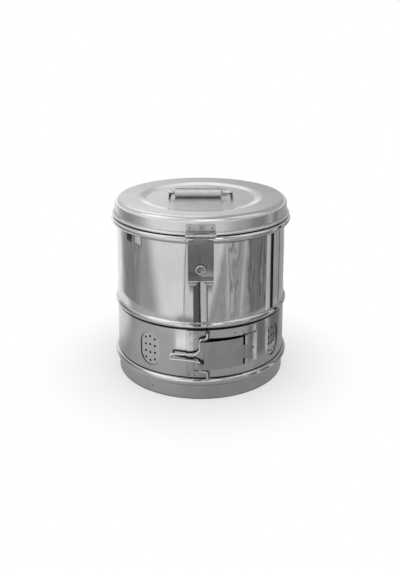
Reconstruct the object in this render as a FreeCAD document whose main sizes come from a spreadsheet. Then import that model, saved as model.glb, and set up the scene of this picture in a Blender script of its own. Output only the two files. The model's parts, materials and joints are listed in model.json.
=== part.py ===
import FreeCAD, Part
import math
import os
import Sketcher

# Sterilizing drum of stainless steel sheet, in millimetres.
# The origin is the centre of the bottom, +Z is up and the front, with the hasp, looks along -Y.
# An azimuth is measured from the front towards +X, so a piece modelled at the front is turned by it.

document = FreeCAD.newDocument("sterilizing_drum")
sheet = document.addObject("Spreadsheet::Sheet", "Sizes")


class Size:
    """A number together with the formula that gives it from the sheet of sizes."""

    def __init__(self, value, formula):
        self.value = float(value)
        self.formula = formula

    @staticmethod
    def of(thing):
        if isinstance(thing, Size):
            return thing
        return Size(thing, f"({thing})")

    def combine(self, other, sign, value):
        return Size(value, f"({self.formula} {sign} {other.formula})")

    def __add__(self, other):
        other = Size.of(other)
        return self.combine(other, "+", self.value + other.value)

    def __sub__(self, other):
        other = Size.of(other)
        return self.combine(other, "-", self.value - other.value)

    def __mul__(self, other):
        other = Size.of(other)
        return self.combine(other, "*", self.value * other.value)

    def __truediv__(self, other):
        other = Size.of(other)
        return self.combine(other, "/", self.value / other.value)

    def __radd__(self, other):
        return Size.of(other) + self

    def __rsub__(self, other):
        return Size.of(other) - self

    def __rmul__(self, other):
        return Size.of(other) * self

    def __neg__(self):
        return Size(-self.value, f"(0 - {self.formula})")


def root(size):
    return Size(math.sqrt(size.value), f"sqrt({size.formula})")


def sine(angle):
    angle = Size.of(angle)
    return Size(math.sin(math.radians(angle.value)), f"sin({angle.formula} * 1 deg)")


def cosine(angle):
    angle = Size.of(angle)
    return Size(math.cos(math.radians(angle.value)), f"cos({angle.formula} * 1 deg)")


def arc_tangent(rise, run):
    ratio = rise / run
    return Size(math.degrees(math.atan(ratio.value)), f"(atan({ratio.formula}) / 1 deg)")


def arc_sine(rise, length):
    ratio = rise / length
    return Size(math.degrees(math.asin(ratio.value)), f"(asin({ratio.formula}) / 1 deg)")


def size(name, value):
    """Put one driving dimension in the sheet and give it back as a Size."""
    size.row += 1
    cell = f"A{size.row}"
    sheet.set(cell, str(value))
    sheet.setAlias(cell, name)
    return Size(value, f"Sizes.{name}")


size.row = 0

# Sheet metal and clearances
wall = size("wall", 0.8)
fitting_sheet = size("fitting_sheet", 1.0)
seat_gap = size("seat_gap", 0.05)
moving_gap = size("moving_gap", 0.3)
pin_gap = size("pin_gap", 0.05)
pin_overhang = size("pin_overhang", 0.5)
cut_margin = size("cut_margin", 1.0)
cut_reach = size("cut_reach", 20.0)

# Drum shell, with its three swaged beads and the neck inside the lid
body_radius = size("body_radius", 120.0)
bead_curve = size("bead_curve", 5.1)
lower_bead_radius = body_radius + size("lower_bead_rise", 4.3)
lower_bead_height = size("lower_bead_height", 26.0)
middle_bead_radius = body_radius + size("middle_bead_rise", 3.0)
middle_bead_height = size("middle_bead_height", 104.8)
rim_bead_radius = body_radius + size("rim_bead_rise", 7.5)
rim_bead_height = size("rim_bead_height", 222.3)
rim_bead_curve = size("rim_bead_curve", 4.7)
neck_radius = body_radius + size("neck_rise", 0.6)
neck_height = size("neck_height", 12.5)
neck_curl = size("neck_curl", 1.1)
ledge_height = rim_bead_height + rim_bead_curve
neck_top = ledge_height + neck_height

# Foot ring and bottom
foot_radius = body_radius - size("foot_inset", 0.9)
foot_lip = size("foot_lip", 4.5)
foot_ring_top = lower_bead_height - size("foot_ring_drop", 5.6)
bottom_height = size("bottom_height", 15.0)
bottom_flange = size("bottom_flange", 11.5)
bottom_corner = size("bottom_corner", 3.0)
shell_foot_radius = foot_radius - wall - seat_gap

# Sliding band and the strip behind its clasp
band_radius = body_radius - size("band_inset", 0.1)
band_bottom = lower_bead_height + size("band_bottom_gap", 5.9)
band_top = middle_bead_height - size("band_top_gap", 6.2)
band_split_azimuth = size("band_split_azimuth", 13.5)
band_split_width = size("band_split_width", 6.0)
strip_thickness = size("strip_thickness", 0.5)
strip_left_azimuth = size("strip_left_azimuth", 5.8)
strip_right_azimuth = size("strip_right_azimuth", 36.4)
band_seat_radius = band_radius - wall - moving_gap
strip_inner_radius = band_radius + seat_gap
strip_outer_radius = strip_inner_radius + strip_thickness

# Steam holes in the shell and the windows in the band that uncovers them
hole_diameter = size("hole_diameter", 3.4)
hole_columns_apart = size("hole_columns_apart", 7.6)
outer_hole_pitch = size("outer_hole_pitch", 9.6)
middle_hole_pitch = size("middle_hole_pitch", 11.4)
window_height = band_bottom + size("window_rise", 30.9)
window_azimuth = size("window_azimuth", -34.8)
window_long = size("window_long", 46.0)
window_wide = size("window_wide", 32.6)

# Lid
neck_gap = size("neck_gap", 0.9)
skirt_radius = neck_radius + neck_gap + wall
lid_edge_curl = size("lid_edge_curl", 2.1)
lid_top = ledge_height + size("lid_height", 24.0)
shoulder_curve = size("shoulder_curve", 7.0)
lid_fall = size("lid_fall", 0.9)
recess_radius = size("recess_radius", 76.6)
rise_inner_radius = recess_radius + size("rise_width", 10.4)
rise_rounding = size("rise_rounding", 22.0)
recess_depth = size("recess_depth", 3.2)
recess_corner = size("recess_corner", 6.0)
recess_floor = lid_top - recess_depth

# Folding handle on the lid
handle_wire = size("handle_wire", 4.0)
handle_half_width = size("handle_half_width", 45.0)
handle_arm = size("handle_arm", 30.3)
handle_bend = size("handle_bend", 4.0)
handle_pivot_back = size("handle_pivot_back", 30.0)
handle_joint_gap = size("handle_joint_gap", 0.6)
grip_diameter = size("grip_diameter", 14.0)
grip_length = size("grip_length", 67.0)
grip_end_curve = size("grip_end_curve", 1.6)
grip_seam = size("grip_seam", 0.6)
grip_seam_angle = size("grip_seam_angle", 40.0)
grip_slide = size("grip_slide", -3.7)
grip_bore_gap = size("grip_bore_gap", 0.1)
saddle_half_width = size("saddle_half_width", 37.0)
saddle_leaf = size("saddle_leaf", 16.0)
saddle_thickness = size("saddle_thickness", 1.0)

# Hinges of the lid and of the hasp
pin_diameter = size("pin_diameter", 2.4)
knuckle_wall = size("knuckle_wall", 1.25)
knuckle_radius = pin_diameter / 2 + pin_gap + knuckle_wall
hinge_radius = rim_bead_radius + moving_gap + knuckle_radius
hinge_height = rim_bead_height + size("hinge_rise", 6.7)
hinge_width = size("hinge_width", 39.0)
middle_knuckle = size("middle_knuckle", 18.6)
leaf_top = hinge_height + size("leaf_height", 12.5)
leaf_width = size("leaf_width", 37.0)
leaf_bend_rise = size("leaf_bend_rise", 1.8)
leaf_root_depth = size("leaf_root_depth", 0.45)
leaf_root_low = size("leaf_root_low", 0.35)
leaf_root_high = size("leaf_root_high", 0.85)
leaf_bend_share = size("leaf_bend_share", 0.6)
body_leaf_bottom = rim_bead_height - size("body_leaf_length", 50.3)
body_leaf_start = rim_bead_height - size("body_leaf_start_drop", 3.7)
body_leaf_bend = rim_bead_height - size("body_leaf_bend_drop", 15.3)
body_leaf_mitre = size("body_leaf_mitre", 0.4)

# Hasp strap, its snap button and the keeper on the shell
strap_width = size("strap_width", 33.0)
strap_thickness = size("strap_thickness", 0.9)
strap_shoulder = hinge_height - size("strap_neck_length", 7.5)
strap_crease = hinge_height - size("strap_crease_drop", 29.0)
strap_toe = hinge_height - size("strap_toe_drop", 56.0)
strap_toe_gap = size("strap_toe_gap", 2.3)
strap_lip_start = strap_toe - size("strap_lip_drop", 4.7)
strap_lip_curve = size("strap_lip_curve", 3.0)
strap_lip_angle = size("strap_lip_angle", 66.0)
strap_lip_tail = size("strap_lip_tail", 4.5)
strap_corner = size("strap_corner", 2.5)
thumb_notch = size("thumb_notch", 6.0)
thumb_notch_depth = size("thumb_notch_depth", 2.0)
thumb_notch_side = size("thumb_notch_side", 1.0)
thumb_notch_round = size("thumb_notch_round", 1.25)
button_height = hinge_height - size("button_drop", 46.0)
button_diameter = size("button_diameter", 14.2)
button_rim = size("button_rim", 1.3)
button_rise = size("button_rise", 2.4)
keeper_diameter = size("keeper_diameter", 9.0)
keeper_rise = size("keeper_rise", 3.1)
keeper_flange = size("keeper_flange", 0.8)
keeper_step = size("keeper_step", 0.4)
keeper_dome_diameter = size("keeper_dome_diameter", 6.5)

# Clasp of the band: hook plate, draw flap, cranked wire lever and hinge leaf
hook_left_azimuth = size("hook_left_azimuth", -9.0)
hook_spine_azimuth = size("hook_spine_azimuth", -4.4)
hook_arm_top = size("hook_arm_top", 11.0)
hook_arm_bottom = size("hook_arm_bottom", 9.0)
hook_lip_foot = size("hook_lip_foot", 1.25)
hook_lip_rise = size("hook_lip_rise", 5.85)
hook_lip_angle = size("hook_lip_angle", 28.0)
hook_lip_inset = size("hook_lip_inset", 2.0)
hook_margin = size("hook_margin", 1.0)
flap_azimuth = size("flap_azimuth", 29.4)
flap_bottom = band_bottom + size("flap_bottom_rise", 13.5)
flap_top = band_top - size("flap_top_drop", 14.2)
flap_slot_azimuth = size("flap_slot_azimuth", 27.2)
flap_curve = band_radius + size("flap_curve_rise", 2.1)
flap_knuckle_bottom = flap_bottom + size("flap_knuckle_low", 8.6)
flap_knuckle_top = flap_top - size("flap_knuckle_high", 11.4)
flap_notch_bottom = flap_bottom + size("flap_notch_low", 8.2)
flap_notch_top = flap_top - size("flap_notch_high", 9.8)
flap_notch_azimuth = size("flap_notch_azimuth", 1.9)
flap_root_angle = size("flap_root_angle", 0.3)
clasp_pin_diameter = size("clasp_pin_diameter", 2.2)
clasp_knuckle_wall = size("clasp_knuckle_wall", 1.15)
clasp_knuckle_radius = clasp_pin_diameter / 2 + pin_gap + clasp_knuckle_wall
clasp_leaf_azimuth = size("clasp_leaf_azimuth", 38.4)
clasp_leaf_start = size("clasp_leaf_start_angle", 0.45)
clasp_leaf_bottom = flap_bottom + size("clasp_leaf_low", 0.4)
clasp_leaf_top = flap_top + size("clasp_leaf_high", 1.6)
clasp_notch_gap = size("clasp_notch_gap", 0.8)
flap_axis_radius = strip_outer_radius + moving_gap + clasp_knuckle_radius
lever_wire = size("lever_wire", 3.2)
lever_azimuth = size("lever_azimuth", -0.5)
lever_radius = flap_axis_radius + size("lever_stand", 2.15)
lever_end_azimuth = size("lever_end_azimuth", 3.9)
lever_bore_gap = size("lever_bore_gap", 0.1)
lever_curl_wall = size("lever_curl_wall", 0.8)
curl_bore = lever_wire / 2 + lever_bore_gap
curl_radius = curl_bore + lever_curl_wall
lever_top = band_top - size("lever_top_drop", 2.2)
lever_bottom = band_bottom - size("lever_bottom_drop", 1.7)
lever_crank_top = flap_top + size("lever_crank_high", 4.0)
lever_crank_bottom = flap_bottom - size("lever_crank_low", 4.0)
lever_crank_drop = size("lever_crank_drop", 1.6)
lever_throat_top = flap_notch_top - size("lever_throat_high", 2.0)
lever_throat_bottom = flap_notch_bottom + size("lever_throat_low", 1.2)
lever_grip_middle = flap_bottom + size("lever_grip_middle_rise", 16.6)
lever_grip_half = size("lever_grip_half", 4.0)
lever_tip_azimuth = size("lever_tip_azimuth", -18.6)
lever_tip_lift = size("lever_tip_lift", 1.6)
lever_hollow = size("lever_hollow", 0.5)
lever_taper = size("lever_taper", 0.2)
lever_flare = size("lever_flare", 0.6)
lever_throat_share = size("lever_throat_share", 0.13)
lever_waist_share = size("lever_waist_share", 0.45)
lever_finger_share = size("lever_finger_share", 0.75)
lever_crank_bend = size("lever_crank_bend", 3.0)
lever_throat_bend = size("lever_throat_bend", 4.0)
lever_long_bend = size("lever_long_bend", 30.0)
lever_tip_bend = size("lever_tip_bend", 3.1)

# Windows round the band, rows of holes in a patch, and how close two places count as the same
window_count = 4
hole_rows = 4
arc_middle = 3
tiny = 1e-6
same_place = 0.02
edge_search = 1.2
edge_search_height = 2.0

document.recompute()


class Outline:
    """A closed outline for a sketch, drawn step by step; each corner is bound to the sizes."""

    def __init__(self, x, y):
        self.corners = [(Size.of(x), Size.of(y))]
        self.edges = []

    def line(self, x, y):
        self.corners.append((Size.of(x), Size.of(y)))
        self.edges.append(None)
        return self

    def arc(self, x, y, radius, left=True, long_way=False):
        """Go on along an arc; left tells whether the path bends to its left."""
        self.corners.append((Size.of(x), Size.of(y)))
        self.edges.append((Size.of(radius), left, long_way))
        return self

    def close(self):
        self.edges.append(None)
        return self


def sketch_on(body, role, name, offset=None):
    """A sketch on one of the body's own origin planes, moved along its normal if an offset is given."""
    plane = next(item for item in body.Origin.OriginFeatures if item.Role == role)
    sketch = body.newObject("Sketcher::SketchObject", name)
    sketch.AttachmentSupport = [(plane, "")]
    sketch.MapMode = "FlatFace"
    if offset is not None:
        offset = Size.of(offset)
        sketch.AttachmentOffset = FreeCAD.Placement(FreeCAD.Vector(0, 0, offset.value), FreeCAD.Rotation())
        sketch.setExpression("AttachmentOffset.Base.z", offset.formula)
    return sketch


def bind(sketch, index, amount):
    sketch.setExpression(f"Constraints[{index}]", amount.formula)


def pin_point(sketch, geometry, point, x, y):
    """Fix one point of a sketch at the given place."""
    across = sketch.addConstraint(Sketcher.Constraint("DistanceX", -1, 1, geometry, point, x.value))
    bind(sketch, across, x)
    up = sketch.addConstraint(Sketcher.Constraint("DistanceY", -1, 1, geometry, point, y.value))
    bind(sketch, up, y)


def arc_centre(start, end, radius, left, long_way):
    """Centre of the arc from start to end that bends to the given side."""
    middle = ((start[0] + end[0]) / 2, (start[1] + end[1]) / 2)
    chord = math.hypot(end[0] - start[0], end[1] - start[1])
    height = math.sqrt(max(radius * radius - (chord / 2) ** 2, 0))
    normal = (-(end[1] - start[1]) / chord, (end[0] - start[0]) / chord)
    side = 1 if left != long_way else -1
    return (middle[0] + side * height * normal[0], middle[1] + side * height * normal[1])


def draw(sketch, outline, closed=True):
    """Draw an outline into a sketch and bind every corner and radius of it."""
    count = len(outline.corners)
    first = sketch.GeometryCount
    starts = []
    edges = outline.edges if closed else outline.edges[:count - 1]
    for number, edge in enumerate(edges):
        start = tuple(part.value for part in outline.corners[number])
        end = tuple(part.value for part in outline.corners[(number + 1) % count])
        geometry = first + number
        if edge is None:
            segment = Part.LineSegment(FreeCAD.Vector(*start, 0), FreeCAD.Vector(*end, 0))
            sketch.addGeometry(segment, False)
            starts.append((geometry, 1, 2))
            continue
        radius, left, long_way = edge
        centre = arc_centre(start, end, radius.value, left, long_way)
        begin, finish = (start, end) if left else (end, start)
        angles = [math.atan2(point[1] - centre[1], point[0] - centre[0]) for point in (begin, finish)]
        circle = Part.Circle(FreeCAD.Vector(*centre, 0), FreeCAD.Vector(0, 0, 1), radius.value)
        sketch.addGeometry(Part.ArcOfCircle(circle, angles[0], angles[1]), False)
        starts.append((geometry, 1, 2) if left else (geometry, 2, 1))
    for number, (geometry, _, far) in enumerate(starts):
        follower = (number + 1) % len(starts)
        if closed or follower:
            next_geometry, near, _ = starts[follower]
            sketch.addConstraint(Sketcher.Constraint("Coincident", geometry, far, next_geometry, near))
    for number, (geometry, near, _) in enumerate(starts):
        pin_point(sketch, geometry, near, *outline.corners[number])
    if not closed:
        geometry, _, far = starts[-1]
        pin_point(sketch, geometry, far, *outline.corners[-1])
    for number, edge in enumerate(edges):
        if edge is None:
            continue
        geometry = first + number
        (x0, y0), (x1, y1) = outline.corners[number], outline.corners[(number + 1) % count]
        span = math.hypot(x1.value - x0.value, y1.value - y0.value)
        if span < 2 * edge[0].value - tiny:
            index = sketch.addConstraint(Sketcher.Constraint("Radius", geometry, edge[0].value))
            bind(sketch, index, edge[0])
        elif abs(x1.value - x0.value) < abs(y1.value - y0.value):
            middle = (x0 + x1) / 2
            bind(sketch, sketch.addConstraint(
                Sketcher.Constraint("DistanceX", -1, 1, geometry, arc_middle, middle.value)), middle)
        else:
            middle = (y0 + y1) / 2
            bind(sketch, sketch.addConstraint(
                Sketcher.Constraint("DistanceY", -1, 1, geometry, arc_middle, middle.value)), middle)


def draw_circle(sketch, x, y, radius):
    x, y, radius = Size.of(x), Size.of(y), Size.of(radius)
    circle = Part.Circle(FreeCAD.Vector(x.value, y.value, 0), FreeCAD.Vector(0, 0, 1), radius.value)
    geometry = sketch.addGeometry(circle, False)
    pin_point(sketch, geometry, arc_middle, x, y)
    bind(sketch, sketch.addConstraint(Sketcher.Constraint("Radius", geometry, radius.value)), radius)


def rectangle(left, bottom, right, top):
    return Outline(left, bottom).line(right, bottom).line(right, top).line(left, top).close()


def new_body(label):
    body = document.addObject("PartDesign::Body", label)
    body.Label = label
    return body


def revolve(body, name, sketch, axis="V_Axis", angle=None):
    """Turn a sketch about one of its axes, all round or evenly to both sides by an angle."""
    feature = body.newObject("PartDesign::Revolution", name)
    feature.Profile = sketch
    feature.ReferenceAxis = (sketch, [axis])
    feature.Angle = 360
    if angle is not None:
        feature.Midplane = True
        feature.Angle = angle.value
        feature.setExpression("Angle", angle.formula)
    return feature


def pad(body, name, sketch, length, both_ways=True):
    feature = body.newObject("PartDesign::Pad", name)
    feature.Profile = sketch
    feature.Length = length.value
    feature.setExpression("Length", length.formula)
    feature.Midplane = both_ways
    return feature


def pocket(body, name, sketch, length, both_ways=False, flip=False):
    """Cut a sketch out of the body; the cut has to take some material away."""
    document.recompute()
    before = body.Shape.Volume
    length = Size.of(length)
    feature = body.newObject("PartDesign::Pocket", name)
    feature.Profile = sketch
    feature.Length = length.value
    feature.setExpression("Length", length.formula)
    feature.Midplane = both_ways
    feature.Reversed = flip
    document.recompute()
    if body.Shape.Volume > before - tiny:
        raise RuntimeError(f"{name} cuts nothing")
    return feature


def round_edges(body, name, radius, wanted):
    """Round the edges of the body that pass the given test."""
    document.recompute()
    base = body.Tip
    names = [f"Edge{index}" for index, edge in enumerate(base.Shape.Edges, 1) if wanted(edge)]
    if not names:
        raise RuntimeError(f"{name} finds no edge")
    feature = body.newObject("PartDesign::Fillet", name)
    feature.Base = (base, names)
    feature.Radius = radius.value
    feature.setExpression("Radius", radius.formula)
    document.recompute()
    return feature


def ring_edge(radius, height):
    """Test for a full circle about the drum's axis at a radius and a height."""

    def wanted(edge):
        curve = edge.Curve
        if not isinstance(curve, Part.Circle):
            return False
        off = max(abs(curve.Radius - radius.value), abs(curve.Center.z - height.value))
        return off < same_place

    return wanted


def upright_edge_near(x, z_low, z_high):
    """Test for a short edge across a front sheet near a given place."""

    def wanted(edge):
        box = edge.BoundBox
        middle = edge.BoundBox.Center
        short = max(box.XLength, box.ZLength) < edge_search
        return short and abs(abs(middle.x) - x) < edge_search and z_low < middle.z < z_high

    return wanted


def turn(body, azimuth):
    """Turn a piece that was modelled at the front to its azimuth on the drum."""
    azimuth = Size.of(azimuth)
    rotation = FreeCAD.Rotation(FreeCAD.Vector(0, 0, 1), azimuth.value)
    body.Placement = FreeCAD.Placement(FreeCAD.Vector(), rotation)
    body.setExpression("Placement.Rotation.Yaw", azimuth.formula)


def polar(radius, azimuth):
    """Plan position at a radius and an azimuth."""
    return (radius * sine(azimuth), -(radius * cosine(azimuth)))


def bead_half_height(radius, curve, side_radius):
    """Half the height of a bead where it meets a wall."""
    rise = radius - side_radius
    return root(rise * (2 * curve - rise))


# Drum shell
shell = new_body("drum_shell")
profile = sketch_on(shell, "XZ_Plane", "shell_profile")
inner_curve = bead_curve - wall
lower_centre = lower_bead_radius - bead_curve
middle_inner = middle_bead_radius - wall
rim_centre = rim_bead_radius - rim_bead_curve
rim_inner_curve = rim_bead_curve - wall


def below(radius, height, curve, side):
    return height - bead_half_height(radius, curve, side)


def above(radius, height, curve, side):
    return height + bead_half_height(radius, curve, side)


shell_bottom = wall + seat_gap * 2
body_inner = body_radius - wall
seat_inner = band_seat_radius - wall
foot_inner = shell_foot_radius - wall
neck_inner = neck_radius - wall
path = Outline(shell_foot_radius, shell_bottom)
path.line(shell_foot_radius, lower_bead_height - bead_curve)
path.line(lower_centre, lower_bead_height - bead_curve)
path.arc(lower_centre, lower_bead_height + bead_curve, bead_curve)
path.line(band_seat_radius, lower_bead_height + bead_curve)
path.line(band_seat_radius, below(middle_bead_radius, middle_bead_height, bead_curve, band_seat_radius))
path.arc(body_radius, above(middle_bead_radius, middle_bead_height, bead_curve, body_radius), bead_curve)
path.line(body_radius, rim_bead_height - rim_bead_curve)
path.line(rim_centre, rim_bead_height - rim_bead_curve)
path.arc(rim_centre, ledge_height, rim_bead_curve)
path.line(neck_radius, ledge_height)
path.line(neck_radius, neck_top - neck_curl)
path.arc(neck_radius - 2 * neck_curl, neck_top - neck_curl, neck_curl)
path.line(neck_inner, neck_top - neck_curl)
path.line(neck_inner, ledge_height - wall)
path.line(rim_centre, ledge_height - wall)
path.arc(rim_centre, rim_bead_height - rim_inner_curve, rim_inner_curve, left=False)
path.line(body_inner, rim_bead_height - rim_inner_curve)
path.line(body_inner, above(middle_inner, middle_bead_height, inner_curve, body_inner))
path.arc(seat_inner, below(middle_inner, middle_bead_height, inner_curve, seat_inner),
         inner_curve, left=False)
path.line(seat_inner, lower_bead_height + inner_curve)
path.line(lower_centre, lower_bead_height + inner_curve)
path.arc(lower_centre, lower_bead_height - inner_curve, inner_curve, left=False)
path.line(foot_inner, lower_bead_height - inner_curve)
path.line(foot_inner, shell_bottom)
draw(profile, path.close())
revolve(shell, "shell_wall", profile)
holes = sketch_on(shell, "XZ_Plane", "steam_holes")
for column, pitch in ((-1, outer_hole_pitch), (0, middle_hole_pitch), (1, outer_hole_pitch)):
    for row in range(hole_rows):
        hole_height = window_height + pitch * (row - (hole_rows - 1) / 2)
        draw_circle(holes, hole_columns_apart * column, hole_height, hole_diameter / 2)
hole_cut = pocket(shell, "steam_hole_patch", holes, body_radius + cut_reach)


def all_round(body, feature, name):
    """Repeat the cut for one window at every window about the drum's axis."""
    axis = next(item for item in body.Origin.OriginFeatures if item.Role == "Z_Axis")
    pattern = body.newObject("PartDesign::PolarPattern", name)
    pattern.Originals = [feature]
    pattern.Axis = (axis, [""])
    pattern.Angle = 360
    pattern.Occurrences = window_count
    body.Tip = pattern
    document.recompute()
    return pattern


all_round(shell, hole_cut, "steam_hole_patches")
turn(shell, window_azimuth)

# Bottom pan, with its flange turned down inside the foot of the shell
bottom = new_body("drum_bottom")
profile = sketch_on(bottom, "XZ_Plane", "bottom_profile")
flange_radius = foot_inner - seat_gap
flange_low = bottom_height - bottom_flange
path = Outline(0, bottom_height - wall)
path.line(flange_radius - bottom_corner, bottom_height - wall)
path.arc(flange_radius - wall, bottom_height - bottom_corner, bottom_corner - wall, left=False)
path.line(flange_radius - wall, flange_low)
path.line(flange_radius, flange_low)
path.line(flange_radius, bottom_height - bottom_corner)
path.arc(flange_radius - bottom_corner, bottom_height, bottom_corner)
path.line(0, bottom_height)
draw(profile, path.close())
revolve(bottom, "bottom_pan", profile)

# Foot ring, spot welded round the shell and turned in below it
foot = new_body("base_ring")
profile = sketch_on(foot, "XZ_Plane", "foot_profile")
path = Outline(foot_radius - foot_lip, 0)
path.line(foot_radius - wall, 0)
path.arc(foot_radius, wall, wall)
path.line(foot_radius, foot_ring_top)
path.line(foot_radius - wall, foot_ring_top)
path.line(foot_radius - wall, wall)
path.line(foot_radius - foot_lip, wall)
draw(profile, path.close())
revolve(foot, "foot_wall", profile)

# Keeper on the shell behind the snap button
keeper = new_body("keeper_stud")
profile = sketch_on(keeper, "YZ_Plane", "keeper_profile")
keeper_base = body_radius + seat_gap
keeper_radius = keeper_diameter / 2
dome_radius = keeper_dome_diameter / 2
dome_foot = keeper_flange + keeper_step


def cap_curve(rise, radius):
    """Radius of the round cap that rises by the given amount over a circle."""
    return (rise * rise + radius * radius) / (2 * rise)


path = Outline(-keeper_base, 0)
path.line(-keeper_base, keeper_radius)
path.line(-(keeper_base + keeper_flange), keeper_radius)
path.line(-(keeper_base + dome_foot), dome_radius)
path.arc(-(keeper_base + keeper_rise), 0, cap_curve(keeper_rise - dome_foot, dome_radius))
draw(profile, path.close())
revolve(keeper, "keeper_head", profile, "H_Axis")
keeper.Placement = FreeCAD.Placement(FreeCAD.Vector(0, 0, button_height.value), FreeCAD.Rotation())
keeper.setExpression("Placement.Base.z", button_height.formula)

# Lid pan
lid = new_body("lid_pan")
profile = sketch_on(lid, "XZ_Plane", "lid_profile")
skirt_inner = skirt_radius - wall
curl_centre = ledge_height + moving_gap + lid_edge_curl
curl_reach = lid_edge_curl - wall
curl_height = root(lid_edge_curl * lid_edge_curl - curl_reach * curl_reach)
rise_height = lid_top - lid_fall
shoulder_start = lid_top - shoulder_curve
path = Outline(skirt_inner, curl_centre)
path.arc(skirt_radius, curl_centre + curl_height, lid_edge_curl, long_way=True)
path.line(skirt_radius, shoulder_start)
path.arc(skirt_radius - shoulder_curve, lid_top, shoulder_curve)
path.line(rise_inner_radius, rise_height)
path.line(recess_radius, recess_floor)
path.line(0, recess_floor)
path.line(0, recess_floor - wall)
path.line(recess_radius + wall / 2, recess_floor - wall)
path.line(rise_inner_radius + wall / 2, rise_height - wall)
path.line(skirt_radius - shoulder_curve, lid_top - wall)
path.arc(skirt_inner, shoulder_start, shoulder_curve - wall, left=False)
draw(profile, path.close())
revolve(lid, "lid_sheet", profile)
round_edges(lid, "rise_rounding", rise_rounding, ring_edge(rise_inner_radius, rise_height))
round_edges(lid, "recess_rounding", recess_corner, ring_edge(recess_radius, recess_floor))


def knuckle(body, name, width):
    """A hinge knuckle across the front."""
    circle = sketch_on(body, "YZ_Plane", f"{name}_circle")
    draw_circle(circle, -hinge_radius, hinge_height, knuckle_radius)
    pad(body, name, circle, width)


def pin_bore(body, name, width):
    circle = sketch_on(body, "YZ_Plane", f"{name}_circle")
    draw_circle(circle, -hinge_radius, hinge_height, pin_diameter / 2 + pin_gap)
    pocket(body, name, circle, width, both_ways=True)


def lid_leaf(label):
    """Hinge leaf on the lid's skirt: curved foot, two outer knuckles over the rolled edge."""
    body = new_body(label)
    profile = sketch_on(body, "YZ_Plane", f"{label}_profile")
    foot_in = skirt_radius + seat_gap
    foot_out = foot_in + fitting_sheet
    bend = curl_centre + lid_edge_curl + leaf_bend_rise
    reach = hinge_radius - knuckle_radius * leaf_root_depth
    path = Outline(-foot_in, leaf_top)
    path.line(-foot_in, bend)
    path.line(-reach, hinge_height + knuckle_radius * leaf_root_low)
    path.line(-reach, hinge_height + knuckle_radius * leaf_root_high)
    path.line(-foot_out, bend + fitting_sheet * leaf_bend_share)
    path.line(-foot_out, leaf_top)
    draw(profile, path.close())
    revolve(body, f"{label}_plate", profile, "V_Axis", 2 * arc_sine(leaf_width / 2, skirt_radius))
    knuckle(body, f"{label}_knuckles", hinge_width)
    pin_bore(body, f"{label}_bore", hinge_width + 2 * cut_margin)
    gap = sketch_on(body, "YZ_Plane", f"{label}_gap_outline")
    clear = knuckle_radius + moving_gap
    draw(gap, rectangle(-(hinge_radius + clear), hinge_height - clear,
                        -(hinge_radius - clear), hinge_height + clear + cut_margin))
    pocket(body, f"{label}_gap", gap, middle_knuckle + 2 * moving_gap, both_ways=True)
    return body


hasp_leaf = lid_leaf("hasp_leaf")
lid_hinge_leaf = lid_leaf("lid_hinge_leaf")
turn(lid_hinge_leaf, 180)


def hinge_pin(label, azimuth):
    """Hinge pin as long as the row of knuckles."""
    body = new_body(label)
    circle = sketch_on(body, "YZ_Plane", f"{label}_circle")
    draw_circle(circle, -hinge_radius, hinge_height, pin_diameter / 2)
    pad(body, f"{label}_wire", circle, hinge_width + 2 * pin_overhang)
    turn(body, azimuth)


hinge_pin("hasp_pin", 0)
hinge_pin("lid_hinge_pin", 180)


# Leaf on the shell that carries the lid's hinge
body_leaf = new_body("body_hinge_leaf")
profile = sketch_on(body_leaf, "YZ_Plane", "body_leaf_profile")
inner_top = hinge_radius - knuckle_radius
toe = body_radius + seat_gap
path = Outline(-inner_top, hinge_height)
path.line(-inner_top, body_leaf_start)
path.line(-toe, body_leaf_bend)
path.line(-toe, body_leaf_bottom)
path.line(-(toe + fitting_sheet), body_leaf_bottom)
path.line(-(toe + fitting_sheet), body_leaf_bend + body_leaf_mitre)
path.line(-(inner_top + fitting_sheet), body_leaf_start - body_leaf_mitre)
path.line(-(inner_top + fitting_sheet), hinge_height)
draw(profile, path.close())
revolve(body_leaf, "body_leaf_plate", profile, "V_Axis", 2 * arc_sine(middle_knuckle / 2, inner_top))
knuckle(body_leaf, "body_leaf_knuckle", middle_knuckle)
pin_bore(body_leaf, "body_leaf_bore", middle_knuckle + 2 * cut_margin)
turn(body_leaf, 180)

# Hasp strap
strap = new_body("hasp_strap")
profile = sketch_on(strap, "YZ_Plane", "strap_profile")
strap_top_in = hinge_radius - knuckle_radius
strap_toe_in = body_radius + strap_toe_gap
strap_toe_out = strap_toe_in + strap_thickness
lip_centre = strap_toe_out + strap_lip_curve
lip_outer = strap_lip_curve + strap_thickness
path = Outline(-strap_top_in, hinge_height)
path.line(-strap_top_in, strap_crease)
path.line(-strap_toe_in, strap_toe)
path.line(-strap_toe_in, strap_lip_start)
lip_turn = (cosine(strap_lip_angle), sine(strap_lip_angle))
lip_ends = [(lip_centre - radius * lip_turn[0], strap_lip_start - radius * lip_turn[1])
            for radius in (lip_outer, strap_lip_curve)]
tail_ends = [(out + strap_lip_tail * lip_turn[1], height - strap_lip_tail * lip_turn[0])
             for out, height in lip_ends]
path.arc(-lip_ends[0][0], lip_ends[0][1], lip_outer, left=False)
path.line(-tail_ends[0][0], tail_ends[0][1])
path.line(-tail_ends[1][0], tail_ends[1][1])
path.line(-lip_ends[1][0], lip_ends[1][1])
path.arc(-strap_toe_out, strap_lip_start, strap_lip_curve)
path.line(-strap_toe_out, strap_toe)
path.line(-(strap_top_in + strap_thickness), strap_crease)
path.line(-(strap_top_in + strap_thickness), hinge_height)
draw(profile, path.close())
pad(strap, "strap_plate", profile, strap_width)
shoulders = sketch_on(strap, "XZ_Plane", "strap_shoulders")
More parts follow.
